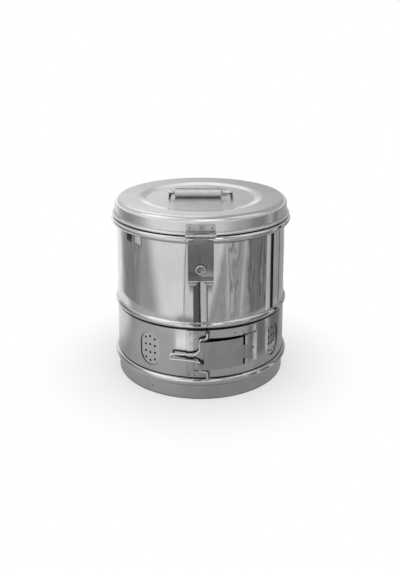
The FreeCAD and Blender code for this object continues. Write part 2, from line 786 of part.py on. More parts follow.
for side in (-1, 1):
    near = middle_knuckle / 2 * side
    far = (strap_width / 2 + cut_margin) * side
    corners = (near, far) if side > 0 else (far, near)
    draw(shoulders, rectangle(corners[0], strap_shoulder, corners[1], hinge_height + cut_margin))
pocket(strap, "strap_neck", shoulders, hinge_radius + cut_reach, flip=True)
notch = sketch_on(strap, "XZ_Plane", "strap_notch_outline")
notch_height = tail_ends[0][1]
notch_foot = notch_height - thumb_notch_depth
notch_side = lip_ends[0][1] - thumb_notch_side
path = Outline(-thumb_notch, notch_foot)
path.line(thumb_notch, notch_foot)
path.line(thumb_notch, notch_side)
path.arc(-thumb_notch, notch_side, thumb_notch * thumb_notch_round)
draw(notch, path.close())
pocket(strap, "strap_notch", notch, hinge_radius + cut_reach, flip=True)
corner_low = notch_height.value - edge_search_height
corner_high = strap_shoulder.value + edge_search_height
round_edges(strap, "strap_corners", strap_corner,
            upright_edge_near(strap_width.value / 2, corner_low, corner_high))
knuckle(strap, "strap_knuckle", middle_knuckle)
pin_bore(strap, "strap_bore", middle_knuckle + 2 * cut_margin)

# Snap button riveted on the slanting part of the strap
button = new_body("snap_button")
slant_run = strap_top_in - strap_toe_in
slant_rise = strap_crease - strap_toe
slant = arc_tangent(slant_run, slant_rise)
button_radius = strap_toe_out + slant_run * (button_height - strap_toe) / slant_rise
profile = sketch_on(button, "YZ_Plane", "button_profile")
button_edge = button_diameter / 2
dish_edge = button_edge - 2 * button_rim
dish_depth = button_rise / 2
path = Outline(0, 0)
path.line(0, button_edge)
path.line(-(button_rise - button_rim), button_edge)
path.arc(-(button_rise - button_rim), dish_edge, button_rim)
path.line(-dish_depth, dish_edge - button_rim)
path.line(-dish_depth, 0)
draw(profile, path.close())
revolve(button, "button_head", profile, "H_Axis")
button_seat = button_radius + seat_gap
button.Placement = FreeCAD.Placement(FreeCAD.Vector(0, -button_seat.value, button_height.value),
                                     FreeCAD.Rotation(FreeCAD.Vector(1, 0, 0), slant.value))
button.setExpression("Placement.Base.y", (-button_seat).formula)
button.setExpression("Placement.Base.z", button_height.formula)
button.setExpression("Placement.Rotation.Roll", slant.formula)

# Saddle that holds the back run of the handle's wire: a leaf on the lid, rolled over the wire
pivot_height = recess_floor + handle_wire / 2 + moving_gap
tunnel = handle_wire / 2 + moving_gap
saddle = new_body("handle_saddle")
profile = sketch_on(saddle, "YZ_Plane", "saddle_profile")
outer = tunnel + saddle_thickness
rest = seat_gap + saddle_thickness
lift = pivot_height - recess_floor
path = Outline(-(outer + saddle_leaf), seat_gap)
path.line(-tunnel, seat_gap)
path.line(-tunnel, lift)
path.arc(tunnel, lift, tunnel, left=False)
path.line(tunnel, seat_gap)
path.line(outer, seat_gap)
path.line(outer, lift)
path.arc(-outer, lift, outer)
path.line(-outer, rest)
path.line(-(outer + saddle_leaf), rest)
draw(profile, path.close())
pad(saddle, "saddle_strap", profile, 2 * saddle_half_width)
saddle.Placement = FreeCAD.Placement(
    FreeCAD.Vector(0, handle_pivot_back.value, recess_floor.value), FreeCAD.Rotation())
saddle.setExpression("Placement.Base.y", handle_pivot_back.formula)
saddle.setExpression("Placement.Base.z", recess_floor.formula)

# Handle: a wire bail with a rolled tube for the grip, folded down towards the front
grip_rest = grip_diameter / 2 + moving_gap
handle_tilt = arc_sine(recess_floor + grip_rest - pivot_height, handle_arm)


def lay_handle(body):
    """Place a piece of the handle at its pivot, in the folded position."""
    body.Placement = FreeCAD.Placement(FreeCAD.Vector(0, handle_pivot_back.value, pivot_height.value),
                                       FreeCAD.Rotation(FreeCAD.Vector(1, 0, 0), -handle_tilt.value))
    body.setExpression("Placement.Base.y", handle_pivot_back.formula)
    body.setExpression("Placement.Base.z", pivot_height.formula)
    body.setExpression("Placement.Rotation.Roll", (-handle_tilt).formula)


bail = new_body("handle_bail")
route = sketch_on(bail, "XY_Plane", "bail_route")
path = Outline(-handle_joint_gap / 2, -handle_arm)
path.line(-(handle_half_width - handle_bend), -handle_arm)
path.arc(-handle_half_width, -(handle_arm - handle_bend), handle_bend, left=False)
path.line(-handle_half_width, -handle_bend)
path.arc(-(handle_half_width - handle_bend), 0, handle_bend, left=False)
path.line(handle_half_width - handle_bend, 0)
path.arc(handle_half_width, -handle_bend, handle_bend, left=False)
path.line(handle_half_width, -(handle_arm - handle_bend))
path.arc(handle_half_width - handle_bend, -handle_arm, handle_bend, left=False)
path.line(handle_joint_gap / 2, -handle_arm)
draw(route, path, closed=False)
section = sketch_on(bail, "YZ_Plane", "bail_section", -handle_joint_gap / 2)
draw_circle(section, -handle_arm, 0, handle_wire / 2)
document.recompute()
pipe = bail.newObject("PartDesign::AdditivePipe", "bail_wire")
pipe.Profile = section
pipe.Spine = (route, [f"Edge{index}" for index in range(1, len(path.corners))])
lay_handle(bail)

grip = new_body("handle_grip")
profile = sketch_on(grip, "XY_Plane", "grip_profile")
half = grip_length / 2
grip_radius = grip_diameter / 2
grip_bore = handle_wire / 2 + grip_bore_gap
inner_end = grip_end_curve - wall
path = Outline(-half, grip_bore)
path.line(-half + wall, grip_bore)
path.line(-half + wall, grip_radius - grip_end_curve)
path.arc(-half + grip_end_curve, grip_radius - wall, inner_end, left=False)
path.line(half - grip_end_curve, grip_radius - wall)
path.arc(half - wall, grip_radius - grip_end_curve, inner_end, left=False)
path.line(half - wall, grip_bore)
path.line(half, grip_bore)
path.line(half, grip_radius - grip_end_curve)
path.arc(half - grip_end_curve, grip_radius, grip_end_curve)
path.line(-half + grip_end_curve, grip_radius)
path.arc(-half, grip_radius - grip_end_curve, grip_end_curve)
draw(profile, path.close())
revolve(grip, "grip_tube", profile, "H_Axis")
seam = sketch_on(grip, "YZ_Plane", "grip_seam_outline")
seam_out = grip_radius + wall
seam_in = grip_radius - 2 * wall
seam_corners = []
for out, side in ((seam_in, -1), (seam_out, -1), (seam_out, 1), (seam_in, 1)):
    over = grip_seam / 2 * side
    seam_corners.append((-out * sine(grip_seam_angle) - over * cosine(grip_seam_angle),
                         out * cosine(grip_seam_angle) - over * sine(grip_seam_angle)))
path = Outline(*seam_corners[0])
for corner in seam_corners[1:]:
    path.line(*corner)
draw(seam, path.close())
pocket(grip, "grip_seam_cut", seam, grip_length + wall, both_ways=True)
document.recompute()
lay_handle(grip)
grip_place = FreeCAD.Vector(grip_slide.value, -handle_arm.value, 0)
grip.Placement = grip.Placement.multiply(FreeCAD.Placement(grip_place, FreeCAD.Rotation()))
grip.setExpression("Placement.Base.x", grip_slide.formula)
grip.setExpression("Placement.Base.y", (handle_pivot_back - handle_arm * cosine(handle_tilt)).formula)
grip.setExpression("Placement.Base.z", (pivot_height + handle_arm * sine(handle_tilt)).formula)

# Sliding band with four windows, split behind the clasp
band = new_body("sliding_band")
profile = sketch_on(band, "XZ_Plane", "band_profile")
draw(profile, rectangle(band_radius - wall, band_bottom, band_radius, band_top))
revolve(band, "band_wall", profile)
window = sketch_on(band, "XZ_Plane", "window_outline")
half_wide = window_wide / 2
straight = (window_long - window_wide) / 2
path = Outline(-half_wide, window_height - straight)
path.arc(half_wide, window_height - straight, half_wide)
path.line(half_wide, window_height + straight)
path.arc(-half_wide, window_height + straight, half_wide)
draw(window, path.close())
window_cut = pocket(band, "window_cut", window, body_radius + cut_reach)
all_round(band, window_cut, "window_cuts")
split = sketch_on(band, "XY_Plane", "split_outline")
split_turn = band_split_azimuth - window_azimuth
spread = band_split_width / 2 / band_radius * (180 / math.pi)
inside = band_radius - wall - cut_margin
outside = band_radius + cut_margin
path = Outline(*polar(inside, split_turn - spread))
path.line(*polar(outside, split_turn - spread))
path.line(*polar(outside, split_turn + spread))
path.line(*polar(inside, split_turn + spread))
draw(split, path.close())
pocket(band, "band_split_cut", split, band_top + cut_margin, flip=True)
turn(band, window_azimuth)


def front_plate(label, left, right, inner, outer, low, high):
    """A curved plate between two azimuths, modelled at the front and turned to its middle."""
    body = new_body(label)
    profile = sketch_on(body, "YZ_Plane", f"{label}_profile")
    draw(profile, rectangle(-outer, low, -inner, high))
    revolve(body, f"{label}_plate", profile, "V_Axis", right - left)
    turn(body, (left + right) / 2)
    return body


front_plate("bridge_strip", strip_left_azimuth, strip_right_azimuth, strip_inner_radius,
            strip_outer_radius, band_bottom, band_top)

# Hook plate on the left end of the band: a spine with two arms that end in raised lips
hook_inner = band_radius + seat_gap
hook_outer = hook_inner + fitting_sheet
hook_low = band_bottom + hook_margin / 2
hook_high = band_top - hook_margin
lever_end_plan = polar(lever_radius, lever_end_azimuth)
lean = hook_lip_angle
lip_gap = lever_wire / 2 + moving_gap
face_x = lever_end_plan[0] + lip_gap * cosine(lean)
face_y = lever_end_plan[1] + lip_gap * sine(lean)
drop = lever_radius - hook_inner - hook_lip_foot
base_x = face_x - drop * sine(lean)
base_y = face_y + drop * cosine(lean)
arm_right = arc_tangent(base_x, -base_y) + (fitting_sheet / 2) / hook_inner * (180 / math.pi)
hook = front_plate("hook_plate", hook_left_azimuth, arm_right, hook_inner, hook_outer, hook_low, hook_high)
hook_middle = (hook_left_azimuth + arm_right) / 2
throat = sketch_on(hook, "XZ_Plane", "hook_throat_outline")
spine_edge = hook_outer * sine(hook_spine_azimuth - hook_middle)
throat_right = hook_outer * sine(arm_right - hook_middle) + hook_arm_bottom
throat_low = hook_low + hook_arm_bottom
throat_high = hook_high - hook_arm_top
draw(throat, rectangle(spine_edge, throat_low, throat_right, throat_high))
pocket(hook, "hook_throat", throat, body_radius + cut_reach, flip=True)


def lip_outline(lift):
    """Plan outline of a lip in the hook plate's own frame, from its foot outwards."""
    turned = []
    thickness = fitting_sheet
    along = (sine(lean), -cosine(lean))
    across = (cosine(lean), sine(lean))
    corners = ((0, 0), (lift, 0), (lift, thickness), (0, thickness))
    for out, over in corners:
        x = base_x + along[0] * out + across[0] * over
        y = base_y + along[1] * out + across[1] * over
        turned.append((x * cosine(hook_middle) + y * sine(hook_middle),
                       y * cosine(hook_middle) - x * sine(hook_middle)))
    path = Outline(*turned[0])
    for corner in turned[1:]:
        path.line(*corner)
    return path.close()


for name, low, high in (("upper", hook_high - hook_arm_top + hook_lip_inset, hook_high),
                        ("lower", hook_low, throat_low - hook_lip_inset / 2)):
    lip = sketch_on(hook, "XY_Plane", f"{name}_lip_outline", low)
    draw(lip, lip_outline(hook_lip_rise))
    pad(hook, f"{name}_lip", lip, high - low, both_ways=False)

# Hinge leaf on the right end of the band
leaf_inner = strip_outer_radius + seat_gap
leaf_outer = leaf_inner + fitting_sheet
leaf_left = flap_azimuth + clasp_leaf_start
clasp_leaf = front_plate("clasp_leaf", leaf_left, clasp_leaf_azimuth, leaf_inner, leaf_outer,
                         clasp_leaf_bottom, clasp_leaf_top)
clasp_middle = (leaf_left + clasp_leaf_azimuth) / 2


def clasp_circle(body, name, low, radius, middle):
    """A circle about the flap's hinge axis, in the frame of a plate turned by its middle azimuth."""
    circle = sketch_on(body, "XY_Plane", f"{name}_circle", low)
    x, y = polar(flap_axis_radius, flap_azimuth - middle)
    draw_circle(circle, x, y, radius)
    return circle


knuckle_pieces = (("lower", clasp_leaf_bottom, flap_knuckle_bottom - moving_gap),
                  ("upper", flap_knuckle_top + moving_gap, clasp_leaf_top))
for name, low, high in knuckle_pieces:
    circle = clasp_circle(clasp_leaf, f"clasp_{name}", low, clasp_knuckle_radius, clasp_middle)
    pad(clasp_leaf, f"clasp_{name}_knuckle", circle, high - low, both_ways=False)
bore_radius = clasp_pin_diameter / 2 + pin_gap
bore = clasp_circle(clasp_leaf, "clasp_bore", clasp_leaf_bottom - cut_margin, bore_radius, clasp_middle)
pocket(clasp_leaf, "clasp_bore", bore, clasp_leaf_top - clasp_leaf_bottom + 2 * cut_margin, flip=True)
notch = sketch_on(clasp_leaf, "XZ_Plane", "clasp_notch_outline")
axis_x = flap_axis_radius * sine(flap_azimuth - clasp_middle)
notch_right = axis_x + clasp_knuckle_radius + clasp_notch_gap
notch_left = axis_x - clasp_knuckle_radius - cut_margin
draw(notch, rectangle(notch_left, flap_knuckle_bottom - moving_gap,
                      notch_right, flap_knuckle_top + moving_gap))
pocket(clasp_leaf, "clasp_notch", notch, body_radius + cut_reach, flip=True)

clasp_pin = new_body("clasp_pin")
pin_bottom = clasp_leaf_bottom - pin_overhang
pin_top = clasp_leaf_top + pin_overhang
circle = clasp_circle(clasp_pin, "clasp_pin", pin_bottom, clasp_pin_diameter / 2, Size.of(0))
pad(clasp_pin, "clasp_pin_wire", circle, pin_top - pin_bottom, both_ways=False)

# Draw flap: a curved plate, rolled round the lever's wire at the left and round the pin at the right
flap = new_body("draw_flap")
axis_plan = polar(flap_axis_radius, flap_azimuth)
lever_plan = polar(lever_radius, lever_azimuth)
plan = sketch_on(flap, "XY_Plane", "flap_plan", flap_bottom)
left_out = polar(lever_radius + curl_radius, lever_azimuth)
left_in = polar(lever_radius + curl_radius - wall, lever_azimuth)
right_out = polar(flap_axis_radius + wall / 2, flap_azimuth - flap_root_angle)
right_in = polar(flap_axis_radius - wall / 2, flap_azimuth - flap_root_angle)
path = Outline(*left_out)
path.line(*left_in)
path.arc(*right_in, flap_curve)
path.line(*right_out)
path.arc(*left_out, flap_curve + wall, left=False)
path.corners.pop()
draw(plan, path)
pad(flap, "flap_plate", plan, flap_top - flap_bottom, both_ways=False)
curl = sketch_on(flap, "XY_Plane", "flap_curl_circle", flap_bottom)
draw_circle(curl, *lever_plan, curl_radius)
pad(flap, "flap_curl", curl, flap_top - flap_bottom, both_ways=False)
slots = sketch_on(flap, "XZ_Plane", "flap_slot_outlines")
slot_left = flap_axis_radius * sine(flap_slot_azimuth)
slot_right = axis_plan[0] + clasp_knuckle_radius + cut_margin
for low, high in ((flap_bottom - cut_margin, flap_knuckle_bottom),
                  (flap_knuckle_top, flap_top + cut_margin)):
    draw(slots, rectangle(slot_left, low, slot_right, high))
pocket(flap, "flap_slots", slots, body_radius + cut_reach, flip=True)
circle = sketch_on(flap, "XY_Plane", "flap_knuckle_circle", flap_knuckle_bottom)
draw_circle(circle, *axis_plan, clasp_knuckle_radius)
pad(flap, "flap_knuckle", circle, flap_knuckle_top - flap_knuckle_bottom, both_ways=False)
notch = sketch_on(flap, "XZ_Plane", "flap_notch_outline")
draw(notch, rectangle(lever_plan[0] - curl_radius - cut_margin, flap_notch_bottom,
                      lever_radius * sine(flap_notch_azimuth), flap_notch_top))
pocket(flap, "flap_notch", notch, body_radius + cut_reach, flip=True)
bores = sketch_on(flap, "XY_Plane", "flap_bore_circles", flap_bottom - cut_margin)
draw_circle(bores, *lever_plan, curl_bore)
draw_circle(bores, *axis_plan, bore_radius)
pocket(flap, "flap_bores", bores, flap_top - flap_bottom + 2 * cut_margin, flip=True)


def place(azimuth, radius, height):
    """A point on the drum from its azimuth, radius and height."""
    angle = math.radians(azimuth)
    return FreeCAD.Vector(radius * math.sin(angle), -radius * math.cos(angle), height)


def bent_wire(points, bends, diameter):
    """A wire along straight runs joined by tangent arcs."""
    edges = []
    current = points[0]
    for before, corner, after, bend in zip(points, points[1:], points[2:], bends):
        into = (corner - before).normalize()
        out = (after - corner).normalize()
        turn_angle = into.getAngle(out)
        reach = bend * math.tan(turn_angle / 2)
        start = corner - into * reach
        end = corner + out * reach
        bisector = (out - into).normalize()
        centre = corner + bisector * (bend / math.cos(turn_angle / 2))
        middle = centre - bisector * bend
        edges.append(Part.LineSegment(current, start).toShape())
        edges.append(Part.Arc(start, middle, end).toShape())
        current = end
    edges.append(Part.LineSegment(current, points[-1]).toShape())
    spine = Part.Wire(edges)
    direction = (points[1] - points[0]).normalize()
    circle = Part.Wire([Part.Circle(points[0], direction, diameter / 2).toShape()])
    return spine.makePipeShell([circle], True, True), spine.Length


# Lever: one cranked wire, from the upper hook end down through the flap's curls to the lower hook end
end_turn = lever_end_azimuth.value
axis_turn = lever_azimuth.value
tip_turn = lever_tip_azimuth.value
level = lever_radius.value
tip_level = level + lever_tip_lift.value
waist_level = level - lever_hollow.value
taper = lever_taper.value
high = (lever_grip_middle + lever_grip_half).value
low = (lever_grip_middle - lever_grip_half).value
crank_high = lever_crank_top.value
crank_low = lever_crank_bottom.value
crank = lever_crank_drop.value
flare = lever_flare.value
throat_turn, waist_turn, finger_turn = (
    axis_turn + (tip_turn - axis_turn) * share.value
    for share in (lever_throat_share, lever_waist_share, lever_finger_share))
lever_points = [
    place(end_turn, level, lever_top.value),
    place(end_turn, level, crank_high),
    place(axis_turn, level, crank_high - crank),
    place(axis_turn, level, lever_throat_top.value),
    place(throat_turn, level, high + flare),
    place(waist_turn, waist_level, high),
    place(finger_turn, level, high - taper),
    place(tip_turn, tip_level, high - flare),
    place(tip_turn, tip_level, low + flare),
    place(finger_turn, level, low + taper),
    place(waist_turn, waist_level, low),
    place(throat_turn, level, low - flare - taper),
    place(axis_turn, level, lever_throat_bottom.value),
    place(axis_turn, level, crank_low + crank),
    place(end_turn, level, crank_low),
    place(end_turn, level, lever_bottom.value),
]
crank_bends = [lever_crank_bend.value] * 2
throat_bend = lever_throat_bend.value
long_bends = [lever_long_bend.value] * 2
tip_bends = [lever_tip_bend.value] * 2
lever_bends = [*crank_bends, throat_bend, throat_bend, *long_bends, *tip_bends, *long_bends,
               throat_bend, throat_bend / 2, *crank_bends]
lever_shape, lever_length = bent_wire(lever_points, lever_bends, lever_wire.value)
lever = document.addObject("Part::Feature", "wire_lever")
lever.Label = "wire_lever"
lever.Shape = lever_shape
expected = math.pi * (lever_wire.value / 2) ** 2 * lever_length
print("lever wire length", round(lever_length, 1), "volume ratio", round(lever_shape.Volume / expected, 4))

# Build, check every object and write one file per piece
document.recompute()
document.recompute()
failed = [item.Name for item in document.Objects if "Invalid" in item.State or "Error" in item.State]
if failed:
    raise RuntimeError(f"failed objects: {failed}")
pieces = [item for item in document.Objects if item.TypeId == "PartDesign::Body"] + [lever]
os.makedirs("parts", exist_ok=True)
for piece in pieces:
    shape = piece.Shape
    if shape.isNull() or not shape.isValid() or len(shape.Solids) != 1:
        raise RuntimeError(f"{piece.Label} is not one valid solid")
for piece in pieces:
    piece.Shape.exportStep(f"parts/{piece.Label}.step")
    box = piece.Shape.BoundBox
    print(f"{piece.Label:18s} volume {piece.Shape.Volume:10.1f}  z {box.ZMin:7.2f} to {box.ZMax:7.2f}")
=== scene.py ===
"""Looks of the stainless steel sterilizing drum: finishes, welds and rivet, and the studio."""
import json
import logging
import math
from dataclasses import dataclass, field
from enum import Enum
from typing import Any

import bmesh
import bpy
from mathutils import Matrix, Vector


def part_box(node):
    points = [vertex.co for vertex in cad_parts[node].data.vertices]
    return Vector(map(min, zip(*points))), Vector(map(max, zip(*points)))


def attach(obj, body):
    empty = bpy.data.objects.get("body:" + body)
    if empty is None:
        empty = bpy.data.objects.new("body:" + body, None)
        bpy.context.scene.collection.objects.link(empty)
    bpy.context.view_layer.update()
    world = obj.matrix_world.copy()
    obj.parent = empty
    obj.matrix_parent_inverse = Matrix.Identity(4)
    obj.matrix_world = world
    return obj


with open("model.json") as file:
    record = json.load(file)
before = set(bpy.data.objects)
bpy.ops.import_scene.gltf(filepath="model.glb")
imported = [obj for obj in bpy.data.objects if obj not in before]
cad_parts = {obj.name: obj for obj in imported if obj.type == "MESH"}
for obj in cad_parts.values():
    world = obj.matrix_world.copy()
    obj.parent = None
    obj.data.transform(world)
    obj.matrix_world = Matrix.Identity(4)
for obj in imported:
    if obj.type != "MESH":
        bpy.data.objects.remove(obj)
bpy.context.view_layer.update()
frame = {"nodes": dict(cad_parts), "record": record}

logging.basicConfig(level=logging.INFO, format="%(message)s")
log = logging.getLogger("drum")

Colour = Place = tuple[float, float, float]
Ramp = tuple[float, float, float, float]  # where it starts and ends, and its values there
Tree = bpy.types.NodeTree
Node = bpy.types.Node
Socket = bpy.types.NodeSocket
Material = bpy.types.Material
Object = bpy.types.Object
Mesh = bmesh.types.BMesh

MM = 0.001
WALL_RADIUS = 0.12  # of the drum's shell, in metres
PAINTED_SHADE = (0.035, 0.035, 0.036)  # the colour of painted shade in crevices, creases and covered patches
NOISE_RANGE = (0.3, 0.7)  # nearly all values of a noise lie between these
SPECK_SCALE = 9.0  # specks for each cloud of handling marks
LINE_SHARE = 0.35  # how much of a finish's roughness its polishing lines make
CLEAN_SHARE = 0.8  # how much of it is left between the lines
SATIN_EASE = 0.002  # half the height over which a satin part turns bright
MERGE_DISTANCE = 0.000001  # points nearer than this are one
SHARP_ANGLE = math.radians(40)
WELD_HEIGHT = 0.07 * MM
WELD_TOP, WELD_RIM, WELD_DIP = 0.72, 0.2, 0.8  # shares of a weld's radius, and of its height
RIVET_SQUASH = 0.45  # a rivet head's height, as a share of half a ball's
SPOT_STEPS = 20
ROUND_STEPS = 96
SWEEP_STEP = 3  # degrees of a card's circle for each of its faces
SLANT_HEIGHT = 0.05  # the height at which a leaning edge is in its own place
CARD_CLOUDS = 14.0  # clouds for each metre in the waver of a card's edges
CARD_STREAKS = 0.45  # streaks for each degree of a card
GROUND_LIFT = 0.2 * MM
LAMP_AIM = Vector((0.0, 0.0, 0.2))


class Grain(Enum):
    """The way the polishing lines run on a piece."""

    TURNED = "in circles round the drum's axis, over a flat top"
    AROUND = "level, round the drum's wall"
    UPRIGHT = "up and down"
    ALONG_WIRE = "across the picture, along a wire that lies level"


@dataclass
class NodeSheet:
    """A small helper that places shader nodes and joins them.

    Args:
        tree: the node tree of a material, a group or the world.
    """

    tree: Tree

    def add(self, kind: str, **settings: Any) -> Node:
        """Add a node.

        Args:
            kind: the node's type, without the ShaderNode in front.
            settings: properties of the node.

        Returns:
            The new node.
        """
        node = self.tree.nodes.new("ShaderNode" + kind)
        for name, value in settings.items():
            setattr(node, name, value)
        return node

    def join(self, source: Socket, target: Socket) -> None:
        """Join an output to an input.

        Args:
            source: the output.
            target: the input.
        """
        self.tree.links.new(source, target)

    def feed(self, target: Socket, value: Socket | float | tuple) -> None:
        """Give an input its value.

        Args:
            target: the input.
            value: an output to join to it, or a plain value.
        """
        if isinstance(value, Socket):
            self.join(value, target)
        else:
            target.default_value = value

    def maths(self, operation: str, first: Socket | float, second: Socket | float = 0.0) -> Socket:
        """Work out a value.

        Args:
            operation: the name of the operation.
            first: a socket or a number.
            second: a socket or a number.

        Returns:
            The socket with the result.
        """
        node = self.add("Math", operation=operation)
        self.feed(node.inputs[0], first)
        self.feed(node.inputs[1], second)
        return node.outputs[0]

    def remap(self, value: Socket, low: float, high: float, to_low: float = 0.0,
              to_high: float = 1.0, smooth: bool = False) -> Socket:
        """Spread a value from one range to another, held at its ends.

        Args:
            value: the socket to spread.
            low: where the range starts.
            high: where the range ends.
            to_low: the result at the start.
            to_high: the result at the end.
            smooth: whether it eases in and out.

        Returns:
            The socket with the result.
        """
        node = self.add("MapRange", interpolation_type="SMOOTHSTEP" if smooth else "LINEAR")
        self.join(value, node.inputs["Value"])
        ends = {"From Min": low, "From Max": high, "To Min": to_low, "To Max": to_high}
        for name, number in ends.items():
            node.inputs[name].default_value = number
        return node.outputs["Result"]

    def between(self, value: Socket, low: float, high: float, ease: float,
                smooth: bool = False) -> Socket:
        """Mark where a value lies between two others.

        Args:
            value: the socket with the value.
            low: where the mask starts to rise.
            high: where the mask ends.
            ease: over how much it rises and falls.
            smooth: whether it eases in and out.

        Returns:
            The socket with the mask.
        """
        rising = self.remap(value, low, low + ease, smooth=smooth)
        falling = self.remap(value, high - ease, high, 1.0, 0.0, smooth)
        return self.maths("MULTIPLY", rising, falling)

    def split(self, place: Socket) -> tuple[Socket, Socket, Socket]:
        """Take a place apart.

        Args:
            place: the socket with the place.

        Returns:
            The sockets with its X, Y and Z.
        """
        parts = self.add("SeparateXYZ")
        self.join(place, parts.inputs[0])
        return tuple(parts.outputs)

    def azimuth(self, x: Socket, y: Socket) -> Socket:
        """Find a place's azimuth.

        Args:
            x: its distance to the right.
            y: its distance to the back.

        Returns:
            The socket with the azimuth, in degrees from the front to the right.
        """
        front = self.maths("MULTIPLY", y, -1.0)
        return self.maths("DEGREES", self.maths("ARCTAN2", x, front))

    def distance(self, place: Socket, point: Place = (0.0, 0.0, 0.0)) -> Socket:
        """Measure how far a place is from a point.

        Args:
            place: the socket with the place.
            point: the point.

        Returns:
            The socket with the distance.
        """
        node = self.add("VectorMath", operation="DISTANCE")
        self.join(place, node.inputs[0])
        node.inputs[1].default_value = point
        return node.outputs["Value"]

    def noise(self, scale: Socket | float, detail: float, **inputs: Socket | float) -> Socket:
        """Add smooth noise.

        Args:
            scale: how many clouds it has for each metre.
            detail: how much finer noise lies over it.
            inputs: a socket or a number for other inputs, where w makes it a noise along a line.

        Returns:
            The socket with the noise.
        """
        node = self.add("TexNoise", noise_dimensions="1D" if "w" in inputs else "3D")
        for name, value in {"scale": scale, "detail": detail, **inputs}.items():
            self.feed(node.inputs[name.capitalize()], value)
        return node.outputs["Fac"]

    def effect(self, group: Tree, **inputs: Socket | float) -> Socket:
        """Place a shared group.

        Args:
            group: the group.
            inputs: a socket or a number for its inputs.

        Returns:
            The socket with its result.
        """
        node = self.add("Group")
        node.node_tree = group
        for name, value in inputs.items():
            self.feed(node.inputs[name.capitalize()], value)
        return node.outputs[0]

    def tint(self, share: Socket, first: Socket | Colour, second: Colour) -> Socket:
        """Mix two colours.

        Args:
            share: the share of the second.
            first: a socket or a colour.
            second: a colour.

        Returns:
            The socket with the mixed colour.
        """
        node = self.add("Mix", data_type="RGBA")
        slots = {slot.name: slot for slot in node.inputs if slot.type == "RGBA"}
        self.join(share, node.inputs["Factor"])
        self.feed(slots["A"], first if isinstance(first, Socket) else (*first, 1.0))
        self.feed(slots["B"], (*second, 1.0))
        return next(slot for slot in node.outputs if slot.type == "RGBA")

    def bump(self, height: Socket, depth: float, under: Socket | None = None) -> Socket:
        """Bend the surface by a height.

        Args:
            height: the socket with the height, from 0 to 1.
            depth: what a height of 1 is in metres.
            under: a surface that is bent already.

        Returns:
            The socket with the bent surface's normal.
        """
        node = self.add("Bump")
        node.inputs["Distance"].default_value = depth
        self.join(height, node.inputs["Height"])
        if under:
            self.join(under, node.inputs["Normal"])
        return node.outputs["Normal"]

    def seen(self) -> Socket:
        """Tell what the camera sees from what is only mirrored or lights something.

        Returns:
            The socket with a mask, 1 where the camera looks straight or through a gap.
        """
        rays = self.add("LightPath").outputs
        return self.maths("MAXIMUM", rays["Is Camera Ray"], rays["Is Transmission Ray"])

    def surface(self, share: Socket, first: Node, second: Node) -> None:
        """Mix two shaders and make them the surface.

        Args:
            share: the share of the second.
            first: a shader.
            second: another shader.
        """
        mixed = self.add("MixShader")
        self.join(share, mixed.inputs["Fac"])
        self.join(first.outputs[0], mixed.inputs[1])
        self.join(second.outputs[0], mixed.inputs[2])
        self.join(mixed.outputs[0], self.tree.nodes["Material Output"].inputs["Surface"])


def new_group(name: str, inputs: dict[str, float | None],
              output: str) -> tuple[Tree, NodeSheet, Any, Socket]:
    """Start a shader node group.

    Args:
        name: the group's name.
        inputs: the default of each input, or None for a place.
        output: the name of its output, which is a plain value.

    Returns:
        The group, its sheet, the sockets of its inputs, and the socket that takes its result.
    """
    group = bpy.data.node_groups.new(name, "ShaderNodeTree")
    for label, default in inputs.items():
        kind = "NodeSocketVector" if default is None else "NodeSocketFloat"
        socket = group.interface.new_socket(label, in_out="INPUT", socket_type=kind)
        if default is not None:
            socket.default_value = default
    group.interface.new_socket(output, in_out="OUTPUT", socket_type="NodeSocketFloat")
    start = group.nodes.new("NodeGroupInput")
    end = group.nodes.new("NodeGroupOutput")
    return group, NodeSheet(group), start.outputs, end.inputs[output]


